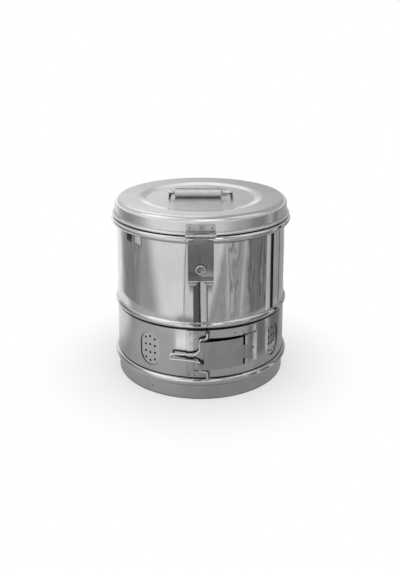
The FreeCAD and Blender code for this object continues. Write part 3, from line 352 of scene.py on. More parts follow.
class SteelEffects:
    """The shader groups that every steel finish shares."""

    def __init__(self) -> None:
        """Build the groups once."""
        self.lines = self._polishing_lines()
        self.marks = self._handling_marks()
        self.waves = self._sheet_waves()
        self.crease = self._crease_shade()
        self.crevice = self._crevice_shade()

    def _polishing_lines(self) -> Tree:
        """Fine lines left by polishing, which run along one direction.

        Returns:
            The group: Across and Along in metres, with the lines for each metre across and
            along, go in, a mask of the lines comes out.
        """
        group, sheet, given, result = new_group(
            "polishing lines",
            {"Across": 0.0, "Along": 0.0, "Fineness": 2500.0, "Length": 20.0}, "Lines")
        place = sheet.add("CombineXYZ")
        sheet.join(sheet.maths("MULTIPLY", given["Across"], given["Fineness"]), place.inputs["X"])
        sheet.join(sheet.maths("MULTIPLY", given["Along"], given["Length"]), place.inputs["Y"])
        noise = sheet.noise(1.0, 4.0, vector=place.outputs[0], roughness=0.6)
        sheet.join(sheet.remap(noise, *NOISE_RANGE), result)
        return group

    def _handling_marks(self) -> Tree:
        """Faint cloudy marks of handling and of dried steam.

        Returns:
            The group: Position and the marks for each metre go in, a mask of the marks comes out.
        """
        group, sheet, given, result = new_group(
            "handling marks", {"Position": None, "Size": 30.0}, "Marks")
        clouds = sheet.noise(given["Size"], 5.0, vector=given["Position"], distortion=0.4)
        fine = sheet.maths("MULTIPLY", given["Size"], SPECK_SCALE)
        specks = sheet.noise(fine, 2.0, vector=given["Position"])
        cloud = sheet.remap(clouds, 0.42, 0.72)
        speck = sheet.remap(specks, 0.55, 0.75, 0.0, 0.5)
        sheet.join(sheet.maths("MAXIMUM", cloud, speck), result)
        return group

    def _sheet_waves(self) -> Tree:
        """Slow waves of thin rolled sheet, which bend what it mirrors.

        Returns:
            The group: Position and the waves for each metre go in, a height between 0 and 1
            comes out.
        """
        group, sheet, given, result = new_group(
            "sheet waves", {"Position": None, "Size": 12.0}, "Height")
        stretch = sheet.add("Mapping")
        stretch.inputs["Scale"].default_value = (1.0, 1.0, 0.35)
        sheet.join(given["Position"], stretch.inputs["Vector"])
        sheet.join(sheet.noise(given["Size"], 1.0, vector=stretch.outputs[0]), result)
        return group

    def _crease_shade(self) -> Tree:
        """A line of painted shade along a crease, at one height all round.

        Returns:
            The group: Height of the place, Middle and Reach of the crease go in, a mask comes out.
        """
        group, sheet, given, result = new_group(
            "crease shade", {"Height": 0.0, "Middle": 0.0, "Reach": 0.001}, "Shade")
        away = sheet.maths("ABSOLUTE", sheet.maths("SUBTRACT", given["Height"], given["Middle"]))
        near = sheet.maths("DIVIDE", away, given["Reach"])
        sheet.join(sheet.remap(near, 0.35, 1.0, 1.0, 0.0, smooth=True), result)
        return group

    def _crevice_shade(self) -> Tree:
        """Painted shade in crevices, darker where other surfaces lie close round a place.

        Returns:
            The group: Reach in metres goes in, a mask comes out.
        """
        group, sheet, given, result = new_group("crevice shade", {"Reach": 0.0015}, "Shade")
        open_sky = sheet.add("AmbientOcclusion", samples=8)
        sheet.join(given["Reach"], open_sky.inputs["Distance"])
        sheet.join(sheet.remap(open_sky.outputs["AO"], 0.48, 0.88, 1.0, 0.0, smooth=True), result)
        return group


@dataclass(frozen=True)
class Crease:
    """A line of painted shade at one height, under a bead or along a gap.

    Args:
        height: its height in millimetres.
        reach: half of its width in millimetres.
        shade: how dark the painted shade is, from 0 to 1.
    """

    height: float
    reach: float
    shade: float


@dataclass(frozen=True)
class Covered:
    """A patch that a moving part covers, darkened with painted shade.

    Args:
        left: the azimuth of its left edge in degrees.
        right: the azimuth of its right edge.
        low: its lower edge in millimetres.
        high: its upper edge.
        soft_side: how softly it ends at the sides, in degrees.
        soft_end: how softly it ends above and below, in millimetres.
    """

    left: float
    right: float
    low: float
    high: float
    soft_side: float = 0.4
    soft_end: float = 0.8

    def mask(self, sheet: NodeSheet, x: Socket, y: Socket, z: Socket) -> Socket:
        """Mark the patch.

        Args:
            sheet: the material's nodes.
            x: the place's distance to the right.
            y: its distance to the back.
            z: its height.

        Returns:
            The socket with the mask.
        """
        across = sheet.between(sheet.azimuth(x, y), self.left - self.soft_side,
                               self.right + self.soft_side, self.soft_side)
        upright = sheet.between(z, (self.low - self.soft_end) * MM,
                                (self.high + self.soft_end) * MM, self.soft_end * MM)
        return sheet.maths("MULTIPLY", across, upright)


@dataclass(frozen=True)
class SteelFinish:
    """One finish of stainless steel.

    Args:
        name: the finish's name.
        colour: what the clean metal reflects.
        dull: what it reflects under the marks.
        roughness: from 0, a mirror, to 1.
        uneven: how much the marks add to the roughness.
        grain: how the polishing lines run.
        fineness: polishing lines for each metre.
        line_depth: depth of the polishing lines, in metres.
        wave_depth: depth of the sheet's slow waves, in metres.
        wave_size: waves for each metre.
        mark_size: marks for each metre.
        crevices: how dark the painted shade in its crevices is, from 0 to 1.
        crevice_reach: how far that painted shade reaches, in metres.
        satin_below: the height in metres below which it is rougher.
        satin_extra: how much rougher it is there.
        creases: lines of painted shade at fixed heights.
        covered: a patch of painted shade under a moving part, if there is one.
    """

    name: str
    colour: Colour
    dull: Colour
    roughness: float
    uneven: float = 0.06
    grain: Grain = Grain.UPRIGHT
    fineness: float = 2500.0
    line_depth: float = 0.000002
    wave_depth: float = 0.0
    wave_size: float = 12.0
    mark_size: float = 30.0
    # painted shade in crevices, for every finish that keeps this default
    crevices: float = 0.75
    crevice_reach: float = 0.0015
    satin_below: float = 0.0
    satin_extra: float = 0.12
    creases: tuple[Crease, ...] = ()
    covered: Covered | None = None

    def _directions(self, sheet: NodeSheet, position: Socket) -> tuple[Socket, Socket]:
        """Find the distances across and along the polishing lines.

        Args:
            sheet: the material's nodes.
            position: the place on the piece.

        Returns:
            The distance across the lines and the one along them.
        """
        x, y, z = sheet.split(position)
        if self.grain is Grain.UPRIGHT:
            return sheet.maths("ADD", x, y), z
        if self.grain is Grain.ALONG_WIRE:
            return sheet.maths("ADD", y, z), x
        turn = sheet.maths("MULTIPLY", sheet.maths("ARCTAN2", x, y), WALL_RADIUS)
        if self.grain is Grain.AROUND:
            return z, turn
        square = sheet.maths("ADD", sheet.maths("MULTIPLY", x, x), sheet.maths("MULTIPLY", y, y))
        return sheet.maths("ADD", sheet.maths("SQRT", square), z), turn

    def _painted_shade(self, sheet: NodeSheet, effects: SteelEffects, position: Socket,
                colour: Socket) -> Socket:
        """Paint shade into the colour: in crevices, along creases and under moving parts.

        Args:
            sheet: the material's nodes.
            effects: the shared shader groups.
            position: the place on the piece.
            colour: the colour before.

        Returns:
            The colour after.
        """
        shade = sheet.effect(effects.crevice, reach=self.crevice_reach)
        masks = [sheet.maths("MULTIPLY", shade, self.crevices)]
        x, y, z = sheet.split(position)
        for crease in self.creases:
            line = sheet.effect(effects.crease, height=z, middle=crease.height * MM,
                                reach=crease.reach * MM)
            masks.append(sheet.maths("MULTIPLY", line, crease.shade))
        if self.covered:
            masks.append(self.covered.mask(sheet, x, y, z))
        for mask in masks:
            colour = sheet.tint(mask, colour, PAINTED_SHADE)
        return colour

    def material(self, effects: SteelEffects) -> Material:
        """Build the material.

        Args:
            effects: the shared shader groups.

        Returns:
            The finished material.
        """
        made = bpy.data.materials.new(self.name)
        made.use_nodes = True
        sheet = NodeSheet(made.node_tree)
        shader = made.node_tree.nodes["Principled BSDF"]
        shader.inputs["Metallic"].default_value = 1.0
        position = sheet.add("TexCoord").outputs["Object"]
        across, along = self._directions(sheet, position)
        lines = sheet.effect(effects.lines, across=across, along=along, fineness=self.fineness)
        marks = sheet.effect(effects.marks, position=position, size=self.mark_size)

        colour = sheet.tint(marks, self.colour, self.dull)
        # paint shade into crevices, creases and covered patches
        sheet.join(self._painted_shade(sheet, effects, position, colour), shader.inputs["Base Color"])

        marked = sheet.maths("MULTIPLY", marks, self.uneven)
        lined = sheet.maths("MULTIPLY", lines, self.roughness * LINE_SHARE)
        rough = sheet.maths("ADD", sheet.maths("ADD", marked, lined), self.roughness * CLEAN_SHARE)
        if self.satin_below:
            height = sheet.split(position)[2]
            satin = sheet.remap(height, self.satin_below - SATIN_EASE,
                                self.satin_below + SATIN_EASE, self.satin_extra, 0.0)
            rough = sheet.maths("ADD", rough, satin)
        sheet.join(rough, shader.inputs["Roughness"])

        wavy = None
        if self.wave_depth:
            waves = sheet.effect(effects.waves, position=position, size=self.wave_size)
            wavy = sheet.bump(waves, self.wave_depth)
        sheet.join(sheet.bump(lines, self.line_depth, wavy), shader.inputs["Normal"])
        return made


@dataclass
class SteelSet:
    """The finishes of the drum, one for each of the record's slots, and one for weld marks."""

    effects: SteelEffects = field(default_factory=SteelEffects)
    shell: SteelFinish = SteelFinish(
        "polished shell", (0.64, 0.64, 0.64), (0.58, 0.58, 0.58), roughness=0.06, uneven=0.05,
        # dark painted shade in the shell's crevices, under straps and fittings
        wave_depth=0.0009, wave_size=16.0, mark_size=22.0, crevices=0.95, crevice_reach=0.003,
        # painted shade under the mid and rim beads, at the lid's edge and round the lower bead
        creases=(Crease(100.1, 3.3, 1.0), Crease(217.0, 2.4, 0.6), Crease(227.2, 1.0, 0.8),
                 Crease(31.6, 1.1, 0.4), Crease(20.6, 1.0, 0.6)))
    lid: SteelFinish = SteelFinish(
        "satin lid", (0.72, 0.72, 0.715), (0.65, 0.65, 0.645), roughness=0.16, uneven=0.05,
        grain=Grain.TURNED, line_depth=0.0000012, wave_depth=0.0007, wave_size=10.0,
        # painted shade along the lid's lower edge, and faint painted shade in its crevices
        mark_size=26.0, crevices=0.1, satin_below=0.2483, creases=(Crease(227.7, 0.8, 0.7),))
    band: SteelFinish = SteelFinish(
        "half-bright band", (0.56, 0.56, 0.56), (0.48, 0.48, 0.48), roughness=0.15, uneven=0.08,
        grain=Grain.AROUND, line_depth=0.000003, wave_depth=0.0005, mark_size=34.0,
        # painted shade round the fittings and lever on the band, reaching 4 mm
        crevice_reach=0.004,
        # painted shade at the band's edges under the beads and on the foot ring's top
        creases=(Crease(98.5, 0.9, 0.8), Crease(32.0, 0.9, 0.6), Crease(20.4, 0.8, 0.5)))
    strip: SteelFinish = SteelFinish(
        "half-bright strip", (0.63, 0.63, 0.63), (0.55, 0.55, 0.55), roughness=0.15, uneven=0.08,
        grain=Grain.AROUND, line_depth=0.000003, wave_depth=0.0005, mark_size=34.0,
        # painted shade round the strip's fittings and at its edges under the beads
        crevice_reach=0.003, creases=(Crease(98.5, 0.9, 0.8), Crease(32.0, 0.9, 0.6)),
        # painted shade on the strip where the flap and lever cover it
        covered=Covered(-3.0, 31.6, 44.5, 85.9))
    fitting: SteelFinish = SteelFinish(
        "pressed fitting", (0.52, 0.52, 0.515), (0.42, 0.42, 0.415), roughness=0.18, uneven=0.1,
        line_depth=0.000003, wave_depth=0.0003, wave_size=40.0, mark_size=90.0,
        crevice_reach=0.003)
    flap: SteelFinish = SteelFinish(
        "dull flap", (0.46, 0.46, 0.455), (0.4, 0.4, 0.395), roughness=0.24, uneven=0.08,
        grain=Grain.AROUND, line_depth=0.000003, wave_depth=0.0002, wave_size=30.0,
        mark_size=60.0)
    leaf: SteelFinish = SteelFinish(
        "bright leaf", (0.64, 0.64, 0.635), (0.54, 0.54, 0.535), roughness=0.14, uneven=0.08,
        wave_depth=0.0006, wave_size=60.0, mark_size=90.0)
    grip: SteelFinish = SteelFinish(
        "satin grip", (0.66, 0.66, 0.655), (0.58, 0.58, 0.575), roughness=0.42, uneven=0.06,
        grain=Grain.ALONG_WIRE, mark_size=70.0, crevices=0.0)
    wire: SteelFinish = SteelFinish(
        "bright wire", (0.72, 0.72, 0.715), (0.58, 0.58, 0.575), roughness=0.09, uneven=0.08,
        # painted shade round the wires, reaching 8 mm
        grain=Grain.ALONG_WIRE, mark_size=120.0, crevices=1.0, crevice_reach=0.008)
    scorched: SteelFinish = SteelFinish(
        "spot weld", (0.16, 0.155, 0.15), (0.09, 0.088, 0.085), roughness=0.42, uneven=0.2,
        mark_size=600.0)

    def dress(self) -> dict[str, Material]:
        """Put the finishes on the CAD nodes.

        Returns:
            The materials by slot or node, with the weld marks' one as scorched.
        """
        finishes = {
            "shell_steel": self.shell, "lid_steel": self.lid, "band_steel": self.band,
            "fitting_steel": self.fitting, "wire_steel": self.wire, "scorched": self.scorched,
            "bridge_strip": self.strip, "draw_flap": self.flap, "clasp_leaf": self.leaf,
            "handle_grip": self.grip,
        }
        made = {key: finish.material(self.effects) for key, finish in finishes.items()}
        made["snap_button"] = made["wire_steel"]
        for row in frame["record"]["subparts"]:
            node = frame["nodes"][row["node"]]
            finish = made.get(row["node"], made[row["material_slot"]])
            node.data.materials.clear()
            node.data.materials.append(finish)
            log.info("dressed %s in %s", row["node"], finish.name)
        return made


def new_object(name: str, mesh: Mesh, material: Material) -> Object:
    """Make an object of a mesh.

    Args:
        name: the object's name.
        mesh: its mesh, which is used up.
        material: its finish.

    Returns:
        The new object, in the scene.
    """
    data = bpy.data.meshes.new(name)
    mesh.to_mesh(data)
    mesh.free()
    data.materials.append(material)
    made = bpy.data.objects.new(name, data)
    bpy.context.scene.collection.objects.link(made)
    return made


def finish_piece(name: str, mesh: Mesh, material: Material, body: str) -> Object:
    """Make a piece of the drum of a mesh and let it ride on a body.

    Args:
        name: the piece's name.
        mesh: its mesh, in the drum's own place.
        material: its finish.
        body: the body that carries it.

    Returns:
        The new object.
    """
    bmesh.ops.remove_doubles(mesh, verts=mesh.verts, dist=MERGE_DISTANCE)
    bmesh.ops.recalc_face_normals(mesh, faces=mesh.faces)
    piece = new_object(name, mesh, material)
    faces = piece.data.polygons
    faces.foreach_set("use_smooth", [True] * len(faces))
    piece.data.set_sharp_from_angle(angle=SHARP_ANGLE)
    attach(piece, body)
    log.info("made %s on %s, %d faces", name, body, len(faces))
    return piece


@dataclass(frozen=True)
class Spot:
    """The place of one spot weld or rivet on the drum's wall.

    Args:
        azimuth: its azimuth, in degrees from the front to the right.
        height: its height in millimetres.
    """

    azimuth: float
    height: float

    def seat(self, radius: float) -> Matrix:
        """Give the frame of the spot on a wall of the given radius.

        Args:
            radius: the radius of the surface, in metres.

        Returns:
            A matrix whose third axis points out of the wall.
        """
        turn = Matrix.Rotation(math.radians(self.azimuth), 4, "Z")
        place = Matrix.Translation(Vector((0.0, -radius, self.height * MM)))
        return turn @ place @ Matrix.Rotation(math.radians(90), 4, "X")


@dataclass
class SpotMarks:
    """A group of spot welds or rivets on one piece.

    Args:
        name: the group's name.
        body: the body that carries the piece.
        slot: the record's slot of the piece; not used.
        seats: the frame of each spot.
        radius: the radius of a spot, in metres.
    """

    name: str
    body: str
    slot: str
    seats: list[Matrix]
    radius: float = 1.15 * MM

    def _weld(self, mesh: Mesh, seat: Matrix) -> None:
        """Add one spot weld: a low ring of pushed-up metal round a pressed-in middle.

        Args:
            mesh: the mesh to add it to.
            seat: its frame.
        """
        made = bmesh.ops.create_cone(mesh, cap_ends=True, segments=SPOT_STEPS, radius1=self.radius,
                                     radius2=self.radius * WELD_TOP, depth=WELD_HEIGHT * 2,
                                     matrix=seat)
        top = max((face for vert in made["verts"] for face in vert.link_faces),
                  key=lambda face: (seat.inverted() @ face.calc_center_median()).z)
        bmesh.ops.inset_individual(mesh, faces=[top], thickness=self.radius * WELD_RIM,
                                   depth=-WELD_HEIGHT * WELD_DIP)

    def _rivet(self, mesh: Mesh, seat: Matrix) -> None:
        """Add one rivet: a low round head.

        Args:
            mesh: the mesh to add it to.
            seat: its frame.
        """
        squash = Matrix.Diagonal((1.0, 1.0, RIVET_SQUASH, 1.0))
        bmesh.ops.create_uvsphere(mesh, u_segments=SPOT_STEPS, v_segments=SPOT_STEPS // 2,
                                  radius=self.radius, matrix=seat @ squash)

    def build(self, material: Material, rivets: bool = False) -> Object:
        """Make the group.

        Args:
            material: the finish of the spots.
            rivets: whether they are rivets and not welds.

        Returns:
            The new object.
        """
        mesh = bmesh.new()
        for seat in self.seats:
            if rivets:
                self._rivet(mesh, seat)
            else:
                self._weld(mesh, seat)
        return finish_piece(self.name, mesh, material, self.body)


@dataclass
class Fastenings:
    """All spot welds and rivets of the drum.

    Args:
        sheet: thickness of the fittings' sheet with its gap, in metres.
        skirt: radius of the lid's skirt.
        band: radius of the sliding band.
        foot: radius of the foot ring.
        shell: radius of the shell.
        strip: thickness of the strip behind the clasp.
        leaf_sheet: thickness of the leaf under the handle.
        weld_row: how far behind that leaf's front edge its welds are.
        rivet: radius of a rivet's head.
    """

    sheet: float = 1.05 * MM
    skirt: float = 122.3 * MM
    band: float = 119.9 * MM
    foot: float = 119.1 * MM
    shell: float = 120.0 * MM
    strip: float = 0.55 * MM
    leaf_sheet: float = 1.0 * MM
    weld_row: float = 8.0 * MM
    rivet: float = 1.5 * MM

    def build(self, materials: dict[str, Material]) -> None:
        """Make every group of spots.

        Args:
            materials: the finishes by slot.
        """
        scorched = materials["scorched"]
        clasp_wall = self.band + self.strip + self.sheet
        leaf = [Spot(azimuth, 237.2) for azimuth in (-6.6, 0.0, 6.6)]
        hook = [Spot(-6.6, 94.0), Spot(-3.9, 94.3), Spot(2.9, 94.2), Spot(-7.4, 35.4),
                Spot(-4.0, 35.0)]
        back = [Spot(180 + azimuth, 237.2) for azimuth in (-6.6, 0.0, 6.6)]
        stem = [Spot(180 + side, height) for side in (-2.4, 2.4) for height in (177.0, 190.0, 202.0)]
        foot = [Spot(-32.8 + 90.0 * quarter, 10.3) for quarter in range(4)]
        strip = [Spot(22.2, 91.0), Spot(27.6, 91.0)]
        clasp = [Spot(34.0, 80.0), Spot(34.0, 51.5)]
        rows = (
            ("hasp_leaf_welds", "lid", "fitting_steel", self.skirt + self.sheet, leaf),
            ("hinge_leaf_welds", "lid", "fitting_steel", self.skirt + self.sheet, back),
            ("hinge_stem_welds", "drum", "fitting_steel", self.shell + self.sheet, stem),
            ("foot_welds", "drum", "band_steel", self.foot, foot),
            ("hook_plate_welds", "band", "fitting_steel", self.band + self.sheet, hook),
            ("bridge_strip_welds", "band", "band_steel", self.band + self.strip, strip),
            ("clasp_leaf_welds", "band", "fitting_steel", clasp_wall, clasp),
        )
        for name, body, slot, radius, spots in rows:
            SpotMarks(name, body, slot, [spot.seat(radius) for spot in spots]).build(scorched)
        head = Spot(35.4, 65.5).seat(clasp_wall)
        SpotMarks("clasp_leaf_rivet", "band", "fitting_steel", [head],
                  self.rivet).build(scorched, rivets=True)
        self._saddle_welds(scorched)

    def _saddle_welds(self, material: Material) -> None:
        """Make the welds on the leaf of the handle's saddle.

        Args:
            material: the finish of the welds.
        """
        low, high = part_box("handle_saddle")
        top = low.z + self.leaf_sheet
        row = low.y + self.weld_row
        shares = (-0.82, -0.28, 0.28, 0.82)
        seats = [Matrix.Translation((share * high.x, row, top)) for share in shares]
        SpotMarks("handle_saddle_welds", "lid", "fitting_steel", seats).build(material)


def where_mirrored(azimuth: float, eye: Vector, stand: float) -> float:
    """Find where a card has to stand to show at one place on the polished wall.

    Args:
        azimuth: the place on the wall, in degrees from the front.
        eye: the camera's place.
        stand: the radius of the circle of cards.

    Returns:
        The azimuth on that circle.
    """
    turn = math.radians(azimuth)
    out = Vector((math.sin(turn), -math.cos(turn)))
    point = out * WALL_RADIUS
    ray = (point - eye.to_2d()).normalized()
    ray = ray - 2 * ray.dot(out) * out
    along = point.dot(ray)
    reach = -along + math.sqrt(along * along + stand * stand - WALL_RADIUS * WALL_RADIUS)
    met = point + ray * reach
    return math.degrees(math.atan2(met.x, -met.y))


def new_glow(name: str) -> tuple[Material, NodeSheet, Node]:
    """Start a material that glows, so that reflections show it as it is.

    Args:
        name: the material's name.

    Returns:
        The material, its sheet and its glow, whose strength is still to be set.
    """
    paint = bpy.data.materials.new(name)
    paint.use_nodes = True
    nodes = paint.node_tree.nodes
    nodes.remove(nodes["Principled BSDF"])
    sheet = NodeSheet(paint.node_tree)
    glow = sheet.add("Emission")
    sheet.join(glow.outputs[0], nodes["Material Output"].inputs["Surface"])
    return paint, sheet, glow


def reflected_only(name: str, mesh: Mesh, paint: Material) -> Object:
    """Make a stage piece that only reflections show.

    Args:
        name: the piece's name.
        mesh: its mesh.
        paint: its material.

    Returns:
        The new object.
    """
    piece = new_object(name, mesh, paint)
    piece.visible_camera = False
    piece.visible_diffuse = False
    piece.visible_shadow = False
    piece.visible_transmission = False
    return piece


@dataclass(frozen=True)
class Card:
    """A card that stands in a circle round the drum, for the polished wall to mirror.

    Args:
        name: the card's name.
        start: where its left edge shows on the wall, in degrees from the front to the right.
        end: where its right edge shows.
        level: how light it is, where 1 is white.
        soft: how softly it ends, in degrees on the wall.
        slant: how far its edges lean, in degrees for each metre of height.
        waver: how far its edges waver, in degrees.
        streaks: how uneven its lightness is.
        top: how high it reaches, in metres.
        low: how high it starts.
        near: the radius it stands at, where 0 is the circle of the others.
        fade: how softly it ends above and below, in metres.
    """

    name: str
    start: float
    end: float
    level: float
    soft: float = 2.0
    slant: float = 0.0
    waver: float = 2.0
    streaks: float = 0.15
    top: float = 0.25
    low: float = 0.0
    near: float = 0.0
    fade: float = 0.0

    def _paint(self, left: float, right: float, ease: float) -> Material:
        """Paint the card, soft at its edges.

        Args:
            left: the azimuth of its left edge.
            right: the azimuth of its right edge.
            ease: the width of a soft edge in degrees.

        Returns:
            The card's material.
        """
        paint, sheet, glow = new_glow(self.name)
        position = sheet.add("TexCoord").outputs["Object"]
        x, y, z = sheet.split(position)
        lean = sheet.maths("MULTIPLY", sheet.maths("SUBTRACT", z, SLANT_HEIGHT), self.slant)
        clouds = sheet.noise(CARD_CLOUDS, 2.0, vector=position)
        shaken = sheet.remap(clouds, *NOISE_RANGE, -self.waver, self.waver)
        azimuth = sheet.maths("ADD", sheet.maths("ADD", sheet.azimuth(x, y), lean), shaken)
        shown = sheet.between(azimuth, left - ease / 2, right + ease / 2, ease, smooth=True)
        if self.fade:
            height = sheet.between(z, self.low, self.top, self.fade, smooth=True)
            shown = sheet.maths("MULTIPLY", shown, height)
        level = sheet.remap(sheet.noise(CARD_STREAKS, 3.0, w=azimuth), *NOISE_RANGE,
                            self.level * (1 - self.streaks), self.level * (1 + self.streaks))
        sheet.join(level, glow.inputs["Strength"])
        sheet.surface(shown, sheet.add("BsdfTransparent"), glow)
        return paint

    def build(self, eye: Vector, stand: float) -> Object:
        """Make the card.

        Args:
            eye: the camera's place.
            stand: the radius of its circle.

        Returns:
            The new object, which shows in reflections alone.
        """
        stand = self.near or stand
        left = where_mirrored(self.start, eye, stand)
        right = where_mirrored(self.end, eye, stand)
        middle = (self.start + self.end) / 2
        ease = abs(where_mirrored(middle + self.soft / 2, eye, stand)
                   - where_mirrored(middle - self.soft / 2, eye, stand))
        margin = ease / 2 + self.waver + abs(self.slant) * self.top
        mesh = bmesh.new()
        corner = Vector((0.0, -stand, self.low))
        corner.rotate(Matrix.Rotation(math.radians(left - margin), 3, "Z"))
        foot = mesh.verts.new(corner)
        head = mesh.verts.new(corner + Vector((0.0, 0.0, self.top - self.low)))
        mesh.edges.new((foot, head))
        sweep = right - left + 2 * margin
        bmesh.ops.spin(mesh, geom=mesh.verts[:] + mesh.edges[:], cent=(0.0, 0.0, 0.0),
                       axis=(0.0, 0.0, 1.0), angle=math.radians(sweep),
                       steps=max(2, round(sweep / SWEEP_STEP)))
        return reflected_only(self.name, mesh, self._paint(left, right, ease))


@dataclass(frozen=True)
class Lamp:
    """One soft lamp that looks at the drum.

    Args:
        name: the lamp's name.
        place: where it hangs.
        size: the side of its square face.
        level: how light its face is, where 1 is white.
    """

    name: str
    place: Place
    size: float
    level: float

    def build(self) -> None:
        """Hang the lamp."""
        lamp = bpy.data.lights.new(self.name, "AREA")
        lamp.shape = "SQUARE"
        lamp.size = self.size
        lamp.energy = self.level * math.pi * self.size * self.size
        holder = bpy.data.objects.new(self.name, lamp)
        holder.location = self.place
        aim = LAMP_AIM - Vector(self.place)
        holder.rotation_euler = aim.to_track_quat("-Z", "Y").to_euler()
        bpy.context.scene.collection.objects.link(holder)


@dataclass
class Studio:
    """Floor, ground, lamps, cards, white surroundings and the camera.

    Args:
        camera_back: how far the camera is in front of the drum's axis.
        camera_up: its height over the floor.
        camera_tilt: how far it looks down, in degrees.
        camera_aside: how far it is beside the axis.
        lens: its focal length in millimetres, over a picture 36 mm high.
        shift: how far the picture is moved down in its plane, as a share of its height.
        floor_reach: how far the floor goes out to each side.
        floor_grey: the floor's colour.
        floor_dull: the floor's roughness.
        floor_shine: how much the floor mirrors.
        floor_white: how white the floor shows, by the distance from the drum's axis.
        ground_grey: how light the mirrored ground is, from the wall to the circle of cards.
        ground_patches: the middles of its brighter patches, and what each adds by the distance.
        sky: how light the mirrored surroundings are, by how far up a direction points.
        sky_side: the same by how far it points to the right.
        sky_dull: how light they are for what isn't polished.
        screen: how light the screen behind the cards is.
        screen_height: how high it is.
        stand: the radius of the circle of cards.
        cards: the cards, the outermost first.
        lamps: the lamps.
    """

    camera_back: float = 0.9962
    camera_up: float = 0.4915
    camera_tilt: float = 11.22
    camera_aside: float = -0.001
    lens: float = 45.34
    shift: float = -0.21
    floor_reach: float = 8.0
    floor_grey: float = 0.86
    floor_dull: float = 0.9
    floor_shine: float = 0.1
    floor_white: Ramp = (0.12, 0.26, 0.5, 1.0)
    ground_grey: tuple[float, float] = (0.36, 0.48)
    ground_patches: tuple[tuple[Place, Ramp], ...] = (
        ((-0.2, -0.2, 0.0), (0.1, 0.24, 0.16, 0.0)),
        ((-0.27, 0.17, 0.0), (0.1, 0.2, 0.5, 0.0)),
    )
    sky: Ramp = (0.12, 0.23, 1.1, 0.56)
    sky_side: Ramp = (-0.12, 0.12, 1.3, 0.82)
    sky_dull: float = 0.8
    screen: float = 0.43
    screen_height: float = 0.25
    stand: float = 0.38
    cards: tuple[Card, ...] = (
        Card("card_left_white", -90.0, -65.0, 1.03, soft=7.0),
        Card("card_left_dark", -60.0, -44.0, 0.3, soft=8.0, slant=-20.0, waver=3.0, streaks=0.25),
        Card("card_front_white", -29.4, -1.5, 0.95, soft=11.0, slant=85.0, waver=0.8, streaks=0.03),
        Card("card_front_pale", -10.5, -2.0, 0.82, soft=0.5, slant=-20.0, waver=0.5, streaks=0.08),
        Card("card_front_line", -10.9, -10.2, 0.35, soft=0.3, slant=-20.0, waver=0.5),
        Card("card_right_streaked", 5.0, 33.0, 0.4, soft=3.0, slant=-50.0, waver=6.0, streaks=0.4),
        Card("card_right_bright", -8.0, 8.0, 0.79, soft=3.0, slant=-150.0, waver=0.8, streaks=0.1),
        Card("card_right_first", 15.2, 17.4, 0.58, soft=1.5, waver=1.8),
        Card("card_right_second", 26.2, 28.6, 0.58, soft=1.5, slant=-40.0, waver=0.6),
        Card("card_right_dark", 30.5, 46.5, 0.22, soft=2.0, waver=3.0, streaks=0.45),
        Card("card_right_grey", 54.0, 77.0, 0.42, soft=1.5, waver=0.6, streaks=0.3),
        Card("card_right_white", 78.0, 90.0, 1.0, soft=4.0),
        Card("card_corner_black", -56.0, -49.5, 0.05, soft=1.0, waver=1.5, top=0.14, low=0.114,
             fade=0.004),
        Card("card_corner_frame", -47.4, -40.5, 0.16, soft=0.6, waver=0.6, top=0.14, low=0.115,
             fade=0.003),
        Card("card_corner_light", -46.6, -41.4, 0.7, soft=0.6, waver=0.6, top=0.137, low=0.118,
             fade=0.002),
        Card("card_foot_dark", -15.0, 4.0, 0.28, soft=6.0, waver=1.0, top=0.018, low=-0.02,
             fade=0.014),
        Card("card_strap_face", -7.2, 7.2, 0.22, soft=0.8, waver=0.3, top=0.214, low=0.112,
             near=0.201, fade=0.02),
        Card("card_strap_lower", -7.0, 7.0, 0.22, soft=0.6, waver=0.2, streaks=0.3, top=0.187,
             low=0.157, near=0.15, fade=0.003),
        Card("card_strap_dark", -4.8, -0.2, 0.12, soft=0.4, waver=0.2, top=0.14, low=0.07, near=0.2),
        Card("card_strap_black", -1.2, -0.1, 0.02, soft=0.2, waver=0.2, top=0.14, low=0.07, near=0.199),
        Card("card_strap_light", 0.0, 3.6, 0.62, soft=0.4, waver=0.2, top=0.14, low=0.07, near=0.198),
        Card("card_strap_line", 3.6, 4.3, 0.1, soft=0.2, waver=0.2, top=0.14, low=0.07, near=0.197),
        Card("card_strip_pale", 46.8, 50.8, 0.66, soft=0.6, waver=0.3, near=0.196),
        Card("card_strip_black", 51.6, 56.0, 0.02, soft=0.6, waver=0.3, low=0.066, near=0.195),
        Card("card_strip_line", 62.8, 64.4, 0.1, soft=0.5, waver=0.3, low=0.066, near=0.194),
        Card("card_band_line", 35.8, 38.2, 0.85, soft=0.8, waver=0.4, top=0.055, near=0.2),
        Card("card_band_dark", 31.0, 66.0, 0.2, soft=4.0, waver=1.0, streaks=0.35, top=0.055,
             near=0.206),
        Card("card_band_spot", -16.0, -5.0, 1.25, soft=3.0, waver=0.5, top=0.075, low=0.03,
             near=0.19, fade=0.01),
    )
    lamps: tuple[Lamp, ...] = (
        Lamp("left", (-1.1, -0.4, 1.45), 1.2, 0.65),
        Lamp("front", (0.3, -1.5, 1.25), 1.0, 1.15),
        Lamp("right", (1.2, -0.3, 1.4), 1.2, 0.5),
        Lamp("back", (-0.3, 1.2, 1.35), 0.9, 0.6),
    )

    def build(self) -> None:
        """Set up the whole studio."""
        self._floor()
        self._ground()
        eye = Vector((self.camera_aside, -self.camera_back, self.camera_up))
        for row, card in enumerate(self.cards, start=1):
            card.build(eye, self.stand - row * MM)
        self._screen()
        self._surroundings()
        for lamp in self.lamps:
            lamp.build()
        self._camera(eye)
        bpy.context.scene.view_settings.view_transform = "Standard"

